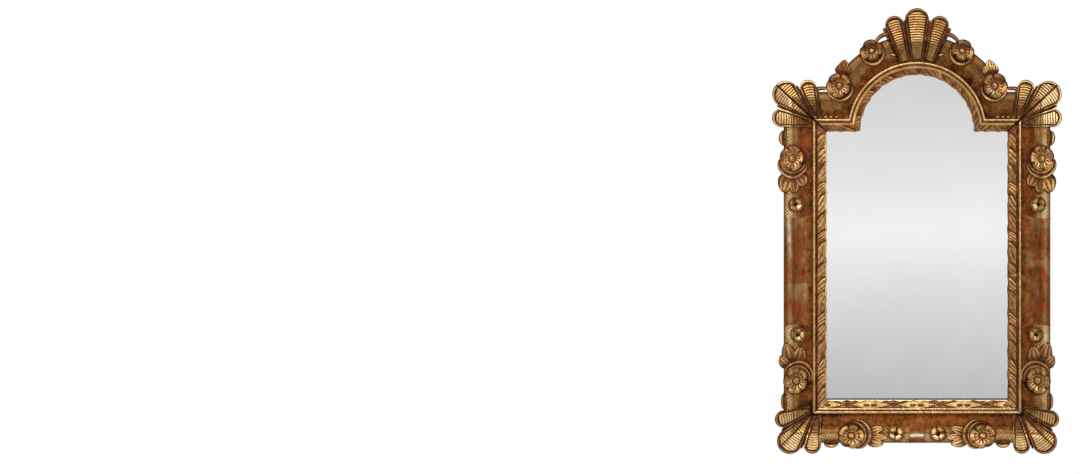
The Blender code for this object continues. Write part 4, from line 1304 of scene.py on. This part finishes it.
class MIRROR_OT_flowers(bpy.types.Operator):
    """Build the ten large flowers and the six small ones"""
    bl_idname = "mirror.flowers"
    bl_label = "Flowers"

    def execute(self, context):
        scene = context.scene
        face = FrameFace(scene.mirror_frame)
        sizes = scene.mirror_carving
        radius = sizes.flower_radius
        arch = (
            (
                "upper", ARCH_UPPER_FLOWER, 250.0,
                Bloom(
                    0.90 * radius, lean=240.0, petals=4, notch=0.17, spin=62.0,
                    red=0.2, tone=-0.03, fade=0.26,
                ),
            ),
            (
                "lower", ARCH_LOWER_FLOWER, 262.0,
                Bloom(radius, lean=210.0, petals=5, notch=0.09, spin=48.0, red=3.2, tone=0.05, fade=0.16),
            ),
        )
        for label, side in SIDES:
            for level, place, heading, bloom in arch:
                centre = face.arch_point(place)
                curl = curl_relief(face, centre, bloom.radius, ARCH_COLLAR, heading, 1, side)
                flower = flower_relief(face, centre, bloom, sizes.flutes, side)
                node = "_".join((label, "arch", level, "flower"))
                add_carving(scene, node, (ARCH_COLLAR_GRID, curl), (FLOWER_GRID, flower))
            for index, group in enumerate(GROUPS):
                stem = label + "_" + group.name
                centre = face.group_point(group, group.flower)
                bloom = Bloom(
                    FLOWER_SWELL * radius, lean=group.lean, petals=5, notch=0.09, spin=33.0 * index + 10,
                    red=0.9, tone=0.05, fade=0.08,
                )
                tail = sizes.tail * GROUP_COLLAR_SHARE
                curl = curl_relief(face, centre, radius, tail, group.curl, 2, side)
                flower = flower_relief(face, centre, bloom, sizes.flutes, side)
                add_carving(scene, stem + "_flower", (GROUP_COLLAR_GRID, curl), (FLOWER_GRID, flower))
                centre = face.group_point(group, group.bud)
                bud = bud_relief(face, centre, sizes.bud_radius * group.bud_size, 4, bloom.spin, side)
                add_carving(scene, stem + "_bud", (BUD_GRID, bud))
        return {"FINISHED"}


class MIRROR_OT_leaves(bpy.types.Operator):
    """Build the leaf sprays beside the flowers"""
    bl_idname = "mirror.leaves"
    bl_label = "Leaves"

    def execute(self, context):
        face = FrameFace(context.scene.mirror_frame)
        radius = context.scene.mirror_carving.flower_radius
        for label, side in SIDES:
            centre = face.arch_point(ARCH_LOWER_FLOWER)
            foot = radius * ARCH_LEAF_FOOT
            blocks = self.spray(face, centre, foot, ARCH_LEAVES, ARCH_LEAF_TONE * side, side)
            add_carving(context.scene, label + "_arch_lower_leaf", *blocks)
            for group in GROUPS:
                centre = face.group_point(group, group.flower)
                foot = radius + GROUP_LEAF_GAP
                blocks = self.spray(face, centre, foot, group.leaves, group.leaf_tone, side)
                add_carving(context.scene, "_".join((label, group.name, "leaf")), *blocks)
        return {"FINISHED"}

    def spray(self, face, centre, foot, leaves, tone, side):
        """Leaves that spread from behind a flower, as blocks of a carving."""
        middle = leaves[-1][0]
        blocks = []
        for heading, reach, width in leaves:
            away = heading - middle
            start = polar(centre, middle + away * LEAF_GATHER, foot)
            tip = polar(centre, heading, reach)
            blocks.append((LEAF_GRID, leaf_relief(face, start, tip, width, LEAF_BOW * away, tone, side)))
        return blocks


class MIRROR_OT_scrolls(bpy.types.Operator):
    """Build the C-scrolls along the outer edge"""
    bl_idname = "mirror.scrolls"
    bl_label = "Scrolls"

    def execute(self, context):
        face = FrameFace(context.scene.mirror_frame)
        radius = context.scene.mirror_carving.flower_radius
        for label, side in SIDES:
            for group in GROUPS:
                ends = (group.scroll_start, group.flower[1] - radius + SCROLL_GAP)
                scroll = scroll_relief(face, group, ends, side)
                add_carving(context.scene, "_".join((label, group.name, "scroll")), (SCROLL_GRID, scroll))
        return {"FINISHED"}


# Finishes

PLANK_HALF = 0.068
PLANK_JOINT = (0.0006, 0.0016)
GLASS_REFLECTION = (0.0030, 0.0042)
MOTTLE = (
    (0.36, (0.42, 0.37, 0.38, 1.0)),
    (0.50, (0.95, 0.91, 0.86, 1.0)),
    (0.64, (1.50, 1.38, 1.20, 1.0)),
)

# Grain of each finish as (scale, detail), and how it is drawn out along a piece
GRAIN_ROUGHNESS = 0.6
PATCH_GRAIN = (42.0, 5.0)
SPECK_GRAIN = (380.0, 4.0)
MOTTLE_GRAIN = (95.0, 5.0)
DUST_GRAIN = (520.0, 3.0)
RED_GRAIN = (16.0, 3.0)
BRUSH_GRAIN = (14.0, 6.0)
THREAD_STRETCH = (2.2, 6.0, 1.0)
STREAK_STRETCH = (2.0, 6.5, 1.0)
HAZE_GRAIN = (5.0, 4.0)
HAZE_RANGE = (0.3, 0.7)
GLASS_SPECK_GRAIN = (260.0, 2.0)
FIBRE_GRAIN = (14.0, 6.0)
FIBRE_STRETCH = (11.0, 11.0, 0.7)
STAIN_GRAIN = (4.0, 3.0)
RUST_GRAIN = (120.0, 6.0)
RUST_RANGE = (0.52, 0.68)
SCRATCH_GRAIN = (160.0, 3.0)
SCRATCH_STRETCH = (1.0, 1.0, 9.0)

# Sprigs that hold the backboard: places along the bottom, up the sides and in degrees round the arch
BOTTOM_SPRIGS = (-0.15, -0.05, 0.05, 0.15)
SIDE_SPRIGS = (0.12, 0.25, 0.38, 0.51, 0.62)
ARCH_SPRIGS = (-60, -20, 20, 60)
SPRIG_INSET = 0.004
SPRIG_LENGTH = 0.016
SPRIG_HEAD = 0.0009
SPRIG_POINT = 0.0006
SPRIG_LIFT = 0.0010
SPRIG_SIDES = 8


class Nodes:
    """Short ways to add nodes to a tree. A value or colour is given as it is or as a socket."""

    def __init__(self, tree):
        self.tree = tree

    def feed(self, socket, value):
        """Link a socket to another, or set its value."""
        if isinstance(value, bpy.types.NodeSocket):
            self.tree.links.new(value, socket)
        else:
            socket.default_value = value

    def add(self, kind, inputs=None, **settings):
        """Add a node, with its settings, values and links."""
        node = self.tree.nodes.new(kind)
        for key, value in settings.items():
            setattr(node, key, value)
        for key, value in (inputs or {}).items():
            self.feed(node.inputs[key], value)
        return node

    def calc(self, operation, first, second=0.0, clamp=False):
        """A sum on values."""
        inputs = {0: first, 1: second}
        return self.add("ShaderNodeMath", inputs, operation=operation, use_clamp=clamp).outputs[0]

    def plus(self, first, second):
        """Two values added."""
        return self.calc("ADD", first, second)

    def times(self, first, second, clamp=False):
        """Two values multiplied."""
        return self.calc("MULTIPLY", first, second, clamp)

    def axes(self, space):
        """Texture coordinates of a space, by their letters."""
        coords = self.add("ShaderNodeTexCoord").outputs[space]
        return self.add("ShaderNodeSeparateXYZ", {"Vector": coords}).outputs

    def grain(self, scale, detail, stretch=(1.0, 1.0, 1.0), vector=None):
        """Noise on the object's own coordinates, or on those given, from 0 to 1."""
        vector = vector or self.add("ShaderNodeTexCoord").outputs["Object"]
        place = self.add("ShaderNodeMapping", {"Vector": vector, "Scale": stretch}).outputs["Vector"]
        inputs = {"Vector": place, "Scale": scale, "Detail": detail, "Roughness": GRAIN_ROUGHNESS}
        return self.add("ShaderNodeTexNoise", inputs).outputs["Fac"]

    def mark(self, name):
        """A mark written on the piece's vertices."""
        return self.add("ShaderNodeAttribute", attribute_name=name).outputs["Fac"]

    def spread(self, value, low, high, to_low, to_high):
        """Map one range of values to another, held at its ends."""
        inputs = {"Value": value, "From Min": low, "From Max": high, "To Min": to_low, "To Max": to_high}
        return self.add("ShaderNodeMapRange", inputs).outputs["Result"]

    def mix(self, share, first, second, mode="MIX"):
        """Mix two colours by a share."""
        inputs = {0: share, 6: first, 7: second}
        return self.add("ShaderNodeMix", inputs, data_type="RGBA", blend_type=mode).outputs[2]

    def ramp(self, value, stops):
        """A colour ramp through (place, colour) stops."""
        node = self.add("ShaderNodeValToRGB", {"Fac": value})
        elements = node.color_ramp.elements
        while len(elements) < len(stops):
            elements.new(0.5)
        for element, (place, tint) in zip(elements, stops):
            element.position = place
            element.color = tint
        return node.outputs["Color"]

    def bump(self, height, strength, distance):
        """A normal bumped by a height."""
        inputs = {"Height": height, "Strength": strength, "Distance": distance}
        return self.add("ShaderNodeBump", inputs).outputs["Normal"]

    def shade(self, inputs):
        """Feed the material's own shader."""
        shader = self.tree.nodes["Principled BSDF"]
        for key, value in inputs.items():
            self.feed(shader.inputs[key], value)


def new_finish(name):
    """A new material and its nodes."""
    material = bpy.data.materials.new(name)
    material.use_nodes = True
    return material, Nodes(material.node_tree)


def solid(tint, gain=1.0):
    """A colour property as four numbers."""
    return (tint[0] * gain, tint[1] * gain, tint[2] * gain, 1.0)


def between(first, second, share):
    """A colour part of the way between two others."""
    return tuple(a + (b - a) * share for a, b in zip(solid(first), solid(second)))


def hatching(nodes, pitch):
    """Crossed cuts on the front plane, from -1 in a cut to 1 between them."""
    axes = nodes.axes("Object")
    turn = 2 * math.pi / (pitch * math.sqrt(2))
    waves = []
    for operation in ("ADD", "SUBTRACT"):
        place = nodes.calc(operation, axes["X"], axes["Z"])
        waves.append(nodes.calc("SINE", nodes.times(place, turn)))
    return nodes.calc("MINIMUM", waves[0], waves[1])


def gilt_material(scene, slot):
    """Old water gilding: leaf on the ridges, red clay where it is worn through and dirt in the hollows, with
    the painted highlights, sheen and shade that the marks carry.
    """
    name = slot + "_old_leaf"
    if name in bpy.data.materials:
        return bpy.data.materials[name]
    colours = scene.mirror_colours
    brown = colours.brown if slot == "gilt_frame" else colours.hollow
    material, nodes = new_finish(name)
    patches = nodes.grain(*PATCH_GRAIN)
    specks = nodes.grain(*SPECK_GRAIN)
    panel = nodes.mark("panel")
    hatched = nodes.mark("hatch")
    bare = nodes.mark("bare")

    # Leaf, from dirt in the hollows to burnished edges, by a level that also carries painted light and shade
    level = nodes.plus(nodes.mark("wear"), nodes.spread(patches, 0.25, 0.75, -0.09, 0.09))
    level = nodes.plus(level, nodes.spread(specks, 0.2, 0.8, -0.13, 0.13))
    tone = nodes.ramp(level, (
        (0.02, solid(colours.umber)),
        (0.15, solid(brown, 0.85)),
        (0.34, solid(brown, 1.15)),
        (0.50, between(brown, colours.gold, 0.55)),
        (0.66, solid(colours.gold)),
        (0.92, solid(colours.pale_gold)),
    ))
    hidden = nodes.spread(level, 0.15, 0.45, 1.0, 0.0)
    olive = nodes.times(nodes.spread(patches, 0.50, 0.72, 0.0, 0.05), hidden)
    tone = nodes.mix(olive, tone, solid(colours.rubbed))
    mottle = nodes.ramp(nodes.grain(*MOTTLE_GRAIN), MOTTLE)
    tone = nodes.mix(nodes.spread(level, 0.25, 0.65, 0.9, 0.2), tone, mottle, "MULTIPLY")
    dust = nodes.spread(nodes.grain(*DUST_GRAIN), 0.56, 0.70, 0.0, 0.55)
    tone = nodes.mix(dust, tone, solid(colours.umber))

    # Plain panels, brushed along the member
    marks = {"X": nodes.mark("run"), "Y": nodes.mark("outset")}
    flow = nodes.add("ShaderNodeCombineXYZ", marks).outputs["Vector"]
    threads = nodes.grain(*BRUSH_GRAIN, THREAD_STRETCH, flow)
    plain = nodes.ramp(threads, (
        (0.36, solid(colours.brown, 0.55)),
        (0.44, between(colours.brown, colours.gold, 0.14)),
        (0.49, between(colours.brown, colours.bole, 0.6)),
        (0.54, between(colours.brown, colours.gold, 0.20)),
        (0.62, between(colours.brown, colours.rubbed, 0.38)),
    ))
    plain = nodes.mix(0.40, plain, mottle, "MULTIPLY")
    tone = nodes.mix(nodes.times(panel, 0.85), tone, plain)

    # Red clay, olive rub, and the painted sheen on the plain panels
    streaks = nodes.grain(*BRUSH_GRAIN, STREAK_STRETCH, flow)
    reds = nodes.times(nodes.mark("bole"), nodes.spread(streaks, 0.47, 0.58, 0.0, 1.0))
    redness = nodes.plus(nodes.spread(nodes.grain(*RED_GRAIN), 0.56, 0.72, 0.0, 0.28), reds)
    redness = nodes.times(redness, nodes.spread(level, 0.45, 0.85, 1.0, 0.15), True)
    tone = nodes.mix(redness, tone, solid(colours.bole))
    rub_and_sheen_share = nodes.times(nodes.mark("rubbed"), nodes.spread(threads, 0.36, 0.60, 0.40, 1.0), True)
    sheen = nodes.ramp(rub_and_sheen_share, (
        (0.35, solid(colours.rubbed)),
        (0.80, between(colours.rubbed, colours.glass, 0.40)),
    ))
    tone = nodes.mix(rub_and_sheen_share, tone, sheen)

    # Dirt in the hatching, and bare wood at the back
    cuts = hatching(nodes, scene.mirror_carving.hatch_pitch)
    dirt = nodes.times(hatched, nodes.spread(cuts, -0.80, -0.05, 0.46, 0.0), True)
    tone = nodes.mix(dirt, tone, solid(colours.umber))
    fibres = nodes.spread(patches, 0.3, 0.7, 0.0, 1.0)
    wood = nodes.mix(fibres, solid(colours.wood, 0.7), solid(colours.wood, 1.2))
    tone = nodes.mix(bare, tone, wood)

    metal = nodes.times(nodes.spread(level, 0.10, 0.60, 0.45, 0.85), nodes.spread(bare, 0.0, 1.0, 1.0, 0.0))
    gloss = nodes.spread(panel, 0.0, 1.0, 0.0, 0.07)
    rough = nodes.calc("SUBTRACT", nodes.spread(level, 0.10, 0.85, 0.60, 0.30), gloss)
    rough = nodes.plus(rough, nodes.times(hatched, 0.18))
    rough = nodes.plus(rough, nodes.spread(bare, 0.0, 1.0, 0.0, 0.25))
    height = nodes.spread(specks, 0.0, 1.0, -0.35, 0.35)
    height = nodes.plus(height, nodes.spread(patches, 0.0, 1.0, -0.5, 0.5))
    height = nodes.plus(height, nodes.times(cuts, hatched))
    nodes.shade({
        "Base Color": tone,
        "Metallic": metal,
        "Roughness": rough,
        "Specular IOR Level": 0.06,
        "Normal": nodes.bump(height, 0.55, 0.0008),
    })
    return material


def glass_material(scene):
    """Silvered glass with a faint haze, a few specks and a painted reflection of the frame along its foot, a
    dark line.
    """
    glass = scene.mirror_colours.glass
    material, nodes = new_finish("old_silvering")
    haze = nodes.grain(*HAZE_GRAIN)
    tone = nodes.mix(nodes.spread(haze, *HAZE_RANGE, 0.0, 1.0), solid(glass, 0.97), solid(glass, 1.02))
    specks = nodes.spread(nodes.grain(*GLASS_SPECK_GRAIN), 0.72, 0.78, 0.0, 0.25)
    tone = nodes.mix(specks, tone, solid(glass, 0.55))
    lowest = scene.mirror_frame.sight_bottom
    # Painted reflection of the frame: a dark line along the foot of the glass.
    line = nodes.spread(nodes.axes("Object")["Z"], lowest + GLASS_REFLECTION[0], lowest + GLASS_REFLECTION[1], 0.85, 0.0)
    tone = nodes.mix(line, tone, solid(scene.mirror_colours.glass_edge_reflection))
    rough = nodes.spread(haze, *HAZE_RANGE, 0.015, 0.04)
    nodes.shade({"Base Color": tone, "Metallic": 1.0, "Roughness": rough})
    return material


def wood_material(scene):
    """Softwood planks with upright grain and open joints."""
    wood = scene.mirror_colours.wood
    material, nodes = new_finish("old_softwood")
    fibres = nodes.grain(*FIBRE_GRAIN, FIBRE_STRETCH)
    tone = nodes.mix(nodes.spread(fibres, 0.3, 0.7, 0.0, 1.0), solid(wood, 0.55), solid(wood, 1.35))
    stain = nodes.spread(nodes.grain(*STAIN_GRAIN), 0.45, 0.75, 0.0, 0.5)
    tone = nodes.mix(stain, tone, solid(wood, 0.45))
    place = nodes.calc("PINGPONG", nodes.plus(nodes.axes("Object")["X"], PLANK_HALF), PLANK_HALF)
    joint = nodes.spread(place, *PLANK_JOINT, 1.0, 0.0)
    tone = nodes.mix(joint, tone, solid(wood, 0.08))
    height = nodes.calc("SUBTRACT", fibres, nodes.times(joint, 3.0))
    nodes.shade({
        "Base Color": tone,
        "Roughness": nodes.spread(fibres, 0.2, 0.8, 0.88, 0.66),
        "Normal": nodes.bump(height, 0.5, 0.0008),
    })
    return material


def iron_material(scene):
    """Dull iron with browned patches."""
    name = "old_iron"
    if name in bpy.data.materials:
        return bpy.data.materials[name]
    colours = scene.mirror_colours
    material, nodes = new_finish(name)
    rust = nodes.grain(*RUST_GRAIN)
    scratches = nodes.spread(nodes.grain(*SCRATCH_GRAIN, SCRATCH_STRETCH), 0.3, 0.7, 0.0, 1.0)
    tone = nodes.mix(scratches, solid(colours.iron, 0.75), solid(colours.iron, 1.6))
    tone = nodes.mix(nodes.spread(rust, *RUST_RANGE, 0.0, 0.8), tone, solid(colours.brown, 0.55))
    nodes.shade({
        "Base Color": tone,
        "Metallic": nodes.spread(rust, *RUST_RANGE, 0.95, 0.3),
        "Roughness": nodes.spread(rust, 0.4, 0.7, 0.34, 0.72),
        "Normal": nodes.bump(rust, 0.35, 0.0004),
    })
    return material


def give_finish(node, material):
    """Put a finish on a CAD node that keeps its shape."""
    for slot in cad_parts[node].material_slots:
        slot.material = material


class MIRROR_OT_glass(bpy.types.Operator):
    """Silver the looking-glass"""
    bl_idname = "mirror.glass"
    bl_label = "Looking-Glass"

    def execute(self, context):
        give_finish("mirror_glass", glass_material(context.scene))
        return {"FINISHED"}


class MIRROR_OT_back(bpy.types.Operator):
    """Finish the backboard and its blocks, and drive the sprigs that hold it"""
    bl_idname = "mirror.back"
    bl_label = "Back"

    def execute(self, context):
        face = FrameFace(context.scene.mirror_frame)
        wood = wood_material(context.scene)
        for node in ("backboard", "left_setting_block", "right_setting_block"):
            give_finish(node, wood)
        spots = [(x, face.bottom - SPRIG_INSET, 90) for x in BOTTOM_SPRIGS]
        for label, side in SIDES:
            spots += [(side * (face.half + SPRIG_INSET), z, 0) for z in SIDE_SPRIGS]
        radius = face.radius + SPRIG_INSET
        for degrees in ARCH_SPRIGS:
            angle = math.radians(degrees)
            spots.append((radius * math.sin(angle), face.springing + radius * math.cos(angle), 90 - degrees))
        bm = bmesh.new()
        for x, z, heading in spots:
            place = Matrix.Translation((x, BOARD_BACK + SPRIG_LIFT, z))
            turn = Matrix.Rotation(math.radians(90 - heading), 4, "Y")
            bmesh.ops.create_cone(
                bm, cap_ends=True, segments=SPRIG_SIDES, radius1=SPRIG_HEAD, radius2=SPRIG_POINT,
                depth=SPRIG_LENGTH, matrix=place @ turn,
            )
        add_piece(bm, "backboard_sprigs", None, iron_material(context.scene))
        return {"FINISHED"}


class MIRROR_OT_hangers(bpy.types.Operator):
    """Finish the strap hangers, their rings and screws"""
    bl_idname = "mirror.hangers"
    bl_label = "Hangers"

    def execute(self, context):
        iron = iron_material(context.scene)
        for label, side in SIDES:
            for node in ("strap_hanger", "hanging_ring", "upper_hanger_screw", "lower_hanger_screw"):
                give_finish(label + "_" + node, iron)
        return {"FINISHED"}


# Stage, panel and running order

PHOTO_WIDTH = 1080
PHOTO_SCALE = 0.002246
PHOTO_MIDDLE = 540.0
MIRROR_MIDDLE = 917.0
CAMERA_HEIGHT = 0.4185
CAMERA_DISTANCE = 4.5
FACE_HEIGHT = 0.03
SENSOR = 36.0
FLOOR_LEVEL = -0.9
FLOOR_HALF = 5.0
AMBIENT = 0.48
FLOOR_GRAIN = (1.5, 3.0)

# Greys that the glass mirrors, as (place, grey): from the back of the room to its front, and upwards
ROOM = ((0.0, 0.55), (0.45, 0.22), (0.72, 0.16), (0.88, 0.45), (0.97, 1.0))
WASH = ((0.11, 0.57), (0.31, 0.745), (0.49, 0.955), (0.54, 0.955), (0.65, 0.865), (0.87, 0.72))
WASH_REACH = 0.10

# Soft lights as (name, place, target, size, power)
LIGHTS = (
    ("key", (-0.7, -2.5, 2.3), (0, 0, 0.45), 2.0, 62),
    ("fill", (1.6, -2.6, 1.2), (0, 0, 0.4), 1.8, 28),
)


def floor_material(scene):
    """Pale studio floor with a faint cloud."""
    floor = scene.mirror_colours.floor
    material, nodes = new_finish("studio_floor")
    tone = nodes.mix(nodes.grain(*FLOOR_GRAIN), solid(floor, 0.98), solid(floor, 1.02))
    nodes.shade({"Base Color": tone, "Roughness": 0.85})
    return material


def grey(value):
    """A neutral colour."""
    return (value, value, value, 1.0)


def greys(stops):
    """Stops of a colour ramp from stops in grey."""
    return [(place, grey(value)) for place, value in stops]


def light_world(scene):
    """White page behind the mirror, and a soft studio whose bright side is before it."""
    world = bpy.data.worlds.new("studio")
    world.use_nodes = True
    scene.world = world
    world.node_tree.nodes.clear()
    nodes = Nodes(world.node_tree)
    axes = nodes.axes("Generated")
    room = nodes.ramp(nodes.spread(axes["Y"], 1.0, -1.0, 0.0, 1.0), greys(ROOM))
    wash = nodes.ramp(nodes.spread(axes["Z"], -WASH_REACH, WASH_REACH, 0.0, 1.0), greys(WASH))
    glossy = nodes.mix(1.0, room, wash, "MULTIPLY")
    path = nodes.add("ShaderNodeLightPath").outputs
    seen = nodes.mix(path["Is Glossy Ray"], grey(AMBIENT), glossy)
    white = nodes.calc("MAXIMUM", path["Is Camera Ray"], path["Is Transmission Ray"])
    seen = nodes.mix(white, seen, grey(1.0))
    shade = nodes.add("ShaderNodeBackground", {"Color": seen, "Strength": 1.0})
    nodes.add("ShaderNodeOutputWorld", {"Surface": shade.outputs["Background"]})


def add_light(name, place, target, size, power):
    """A square soft light that faces a point."""
    data = bpy.data.lights.new(name, "AREA")
    data.size = size
    data.energy = power
    light = bpy.data.objects.new(name, data)
    light.location = place
    light.rotation_euler = (Vector(target) - Vector(place)).to_track_quat("-Z", "Y").to_euler()
    bpy.context.scene.collection.objects.link(light)


def add_floor(scene):
    """A level floor below the mirror."""
    bm = bmesh.new()
    bmesh.ops.create_grid(bm, x_segments=8, y_segments=8, size=FLOOR_HALF)
    bmesh.ops.translate(bm, vec=(0, 0, FLOOR_LEVEL), verts=bm.verts[:])
    mesh = bpy.data.meshes.new("floor")
    bm.to_mesh(mesh)
    bm.free()
    mesh.materials.append(floor_material(scene))
    floor = bpy.data.objects.new("floor", mesh)
    scene.collection.objects.link(floor)


def add_camera(scene):
    """The photograph's view: straight on, with the mirror right of the middle."""
    data = bpy.data.cameras.new("camera")
    data.sensor_fit = "HORIZONTAL"
    data.sensor_width = SENSOR
    data.lens = SENSOR * CAMERA_DISTANCE / (PHOTO_WIDTH * PHOTO_SCALE)
    data.shift_x = (PHOTO_MIDDLE - MIRROR_MIDDLE) / PHOTO_WIDTH
    camera = bpy.data.objects.new("camera", data)
    camera.location = (0, -CAMERA_DISTANCE - FACE_HEIGHT, CAMERA_HEIGHT)
    camera.rotation_euler = (math.pi / 2, 0, 0)
    scene.collection.objects.link(camera)
    scene.camera = camera


class MIRROR_OT_stage(bpy.types.Operator):
    """Set up the floor, the light and the camera"""
    bl_idname = "mirror.stage"
    bl_label = "Stage"

    def execute(self, context):
        add_floor(context.scene)
        light_world(context.scene)
        for light in LIGHTS:
            add_light(*light)
        add_camera(context.scene)
        context.scene.view_settings.view_transform = "Standard"
        return {"FINISHED"}


class MIRROR_PT_panel(bpy.types.Panel):
    """Sizes, colours and pieces of the mirror"""
    bl_idname = "MIRROR_PT_panel"
    bl_label = "Pier Mirror"
    bl_space_type = "VIEW_3D"
    bl_region_type = "UI"
    bl_category = "Pier Mirror"

    def draw(self, context):
        scene = context.scene
        for group in (scene.mirror_frame, scene.mirror_carving, scene.mirror_colours):
            box = self.layout.box()
            for key in group.__annotations__:
                box.prop(group, key)
        for operator in OPERATORS:
            self.layout.operator(operator.bl_idname)


OPERATORS = (
    MIRROR_OT_members,
    MIRROR_OT_sight_moulding,
    MIRROR_OT_crest_shell,
    MIRROR_OT_corner_shells,
    MIRROR_OT_flowers,
    MIRROR_OT_leaves,
    MIRROR_OT_scrolls,
    MIRROR_OT_glass,
    MIRROR_OT_back,
    MIRROR_OT_hangers,
    MIRROR_OT_stage,
)
CLASSES = (MirrorFrameSizes, MirrorCarvingSizes, MirrorColours) + OPERATORS + (MIRROR_PT_panel,)


def register():
    """Make the classes and their settings known."""
    for item in CLASSES:
        bpy.utils.register_class(item)
    bpy.types.Scene.mirror_frame = PointerProperty(type=MirrorFrameSizes)
    bpy.types.Scene.mirror_carving = PointerProperty(type=MirrorCarvingSizes)
    bpy.types.Scene.mirror_colours = PointerProperty(type=MirrorColours)


def unregister():
    """Take the classes and their settings away again."""
    del bpy.types.Scene.mirror_colours
    del bpy.types.Scene.mirror_carving
    del bpy.types.Scene.mirror_frame
    for item in reversed(CLASSES):
        bpy.utils.unregister_class(item)


def main():
    """Build the mirror piece by piece."""
    register()
    bpy.ops.mirror.members()
    bpy.ops.mirror.sight_moulding()
    bpy.ops.mirror.crest_shell()
    bpy.ops.mirror.corner_shells()
    bpy.ops.mirror.flowers()
    bpy.ops.mirror.leaves()
    bpy.ops.mirror.scrolls()
    bpy.ops.mirror.glass()
    bpy.ops.mirror.back()
    bpy.ops.mirror.hangers()
    bpy.ops.mirror.stage()


if __name__ == "__main__":
    main()
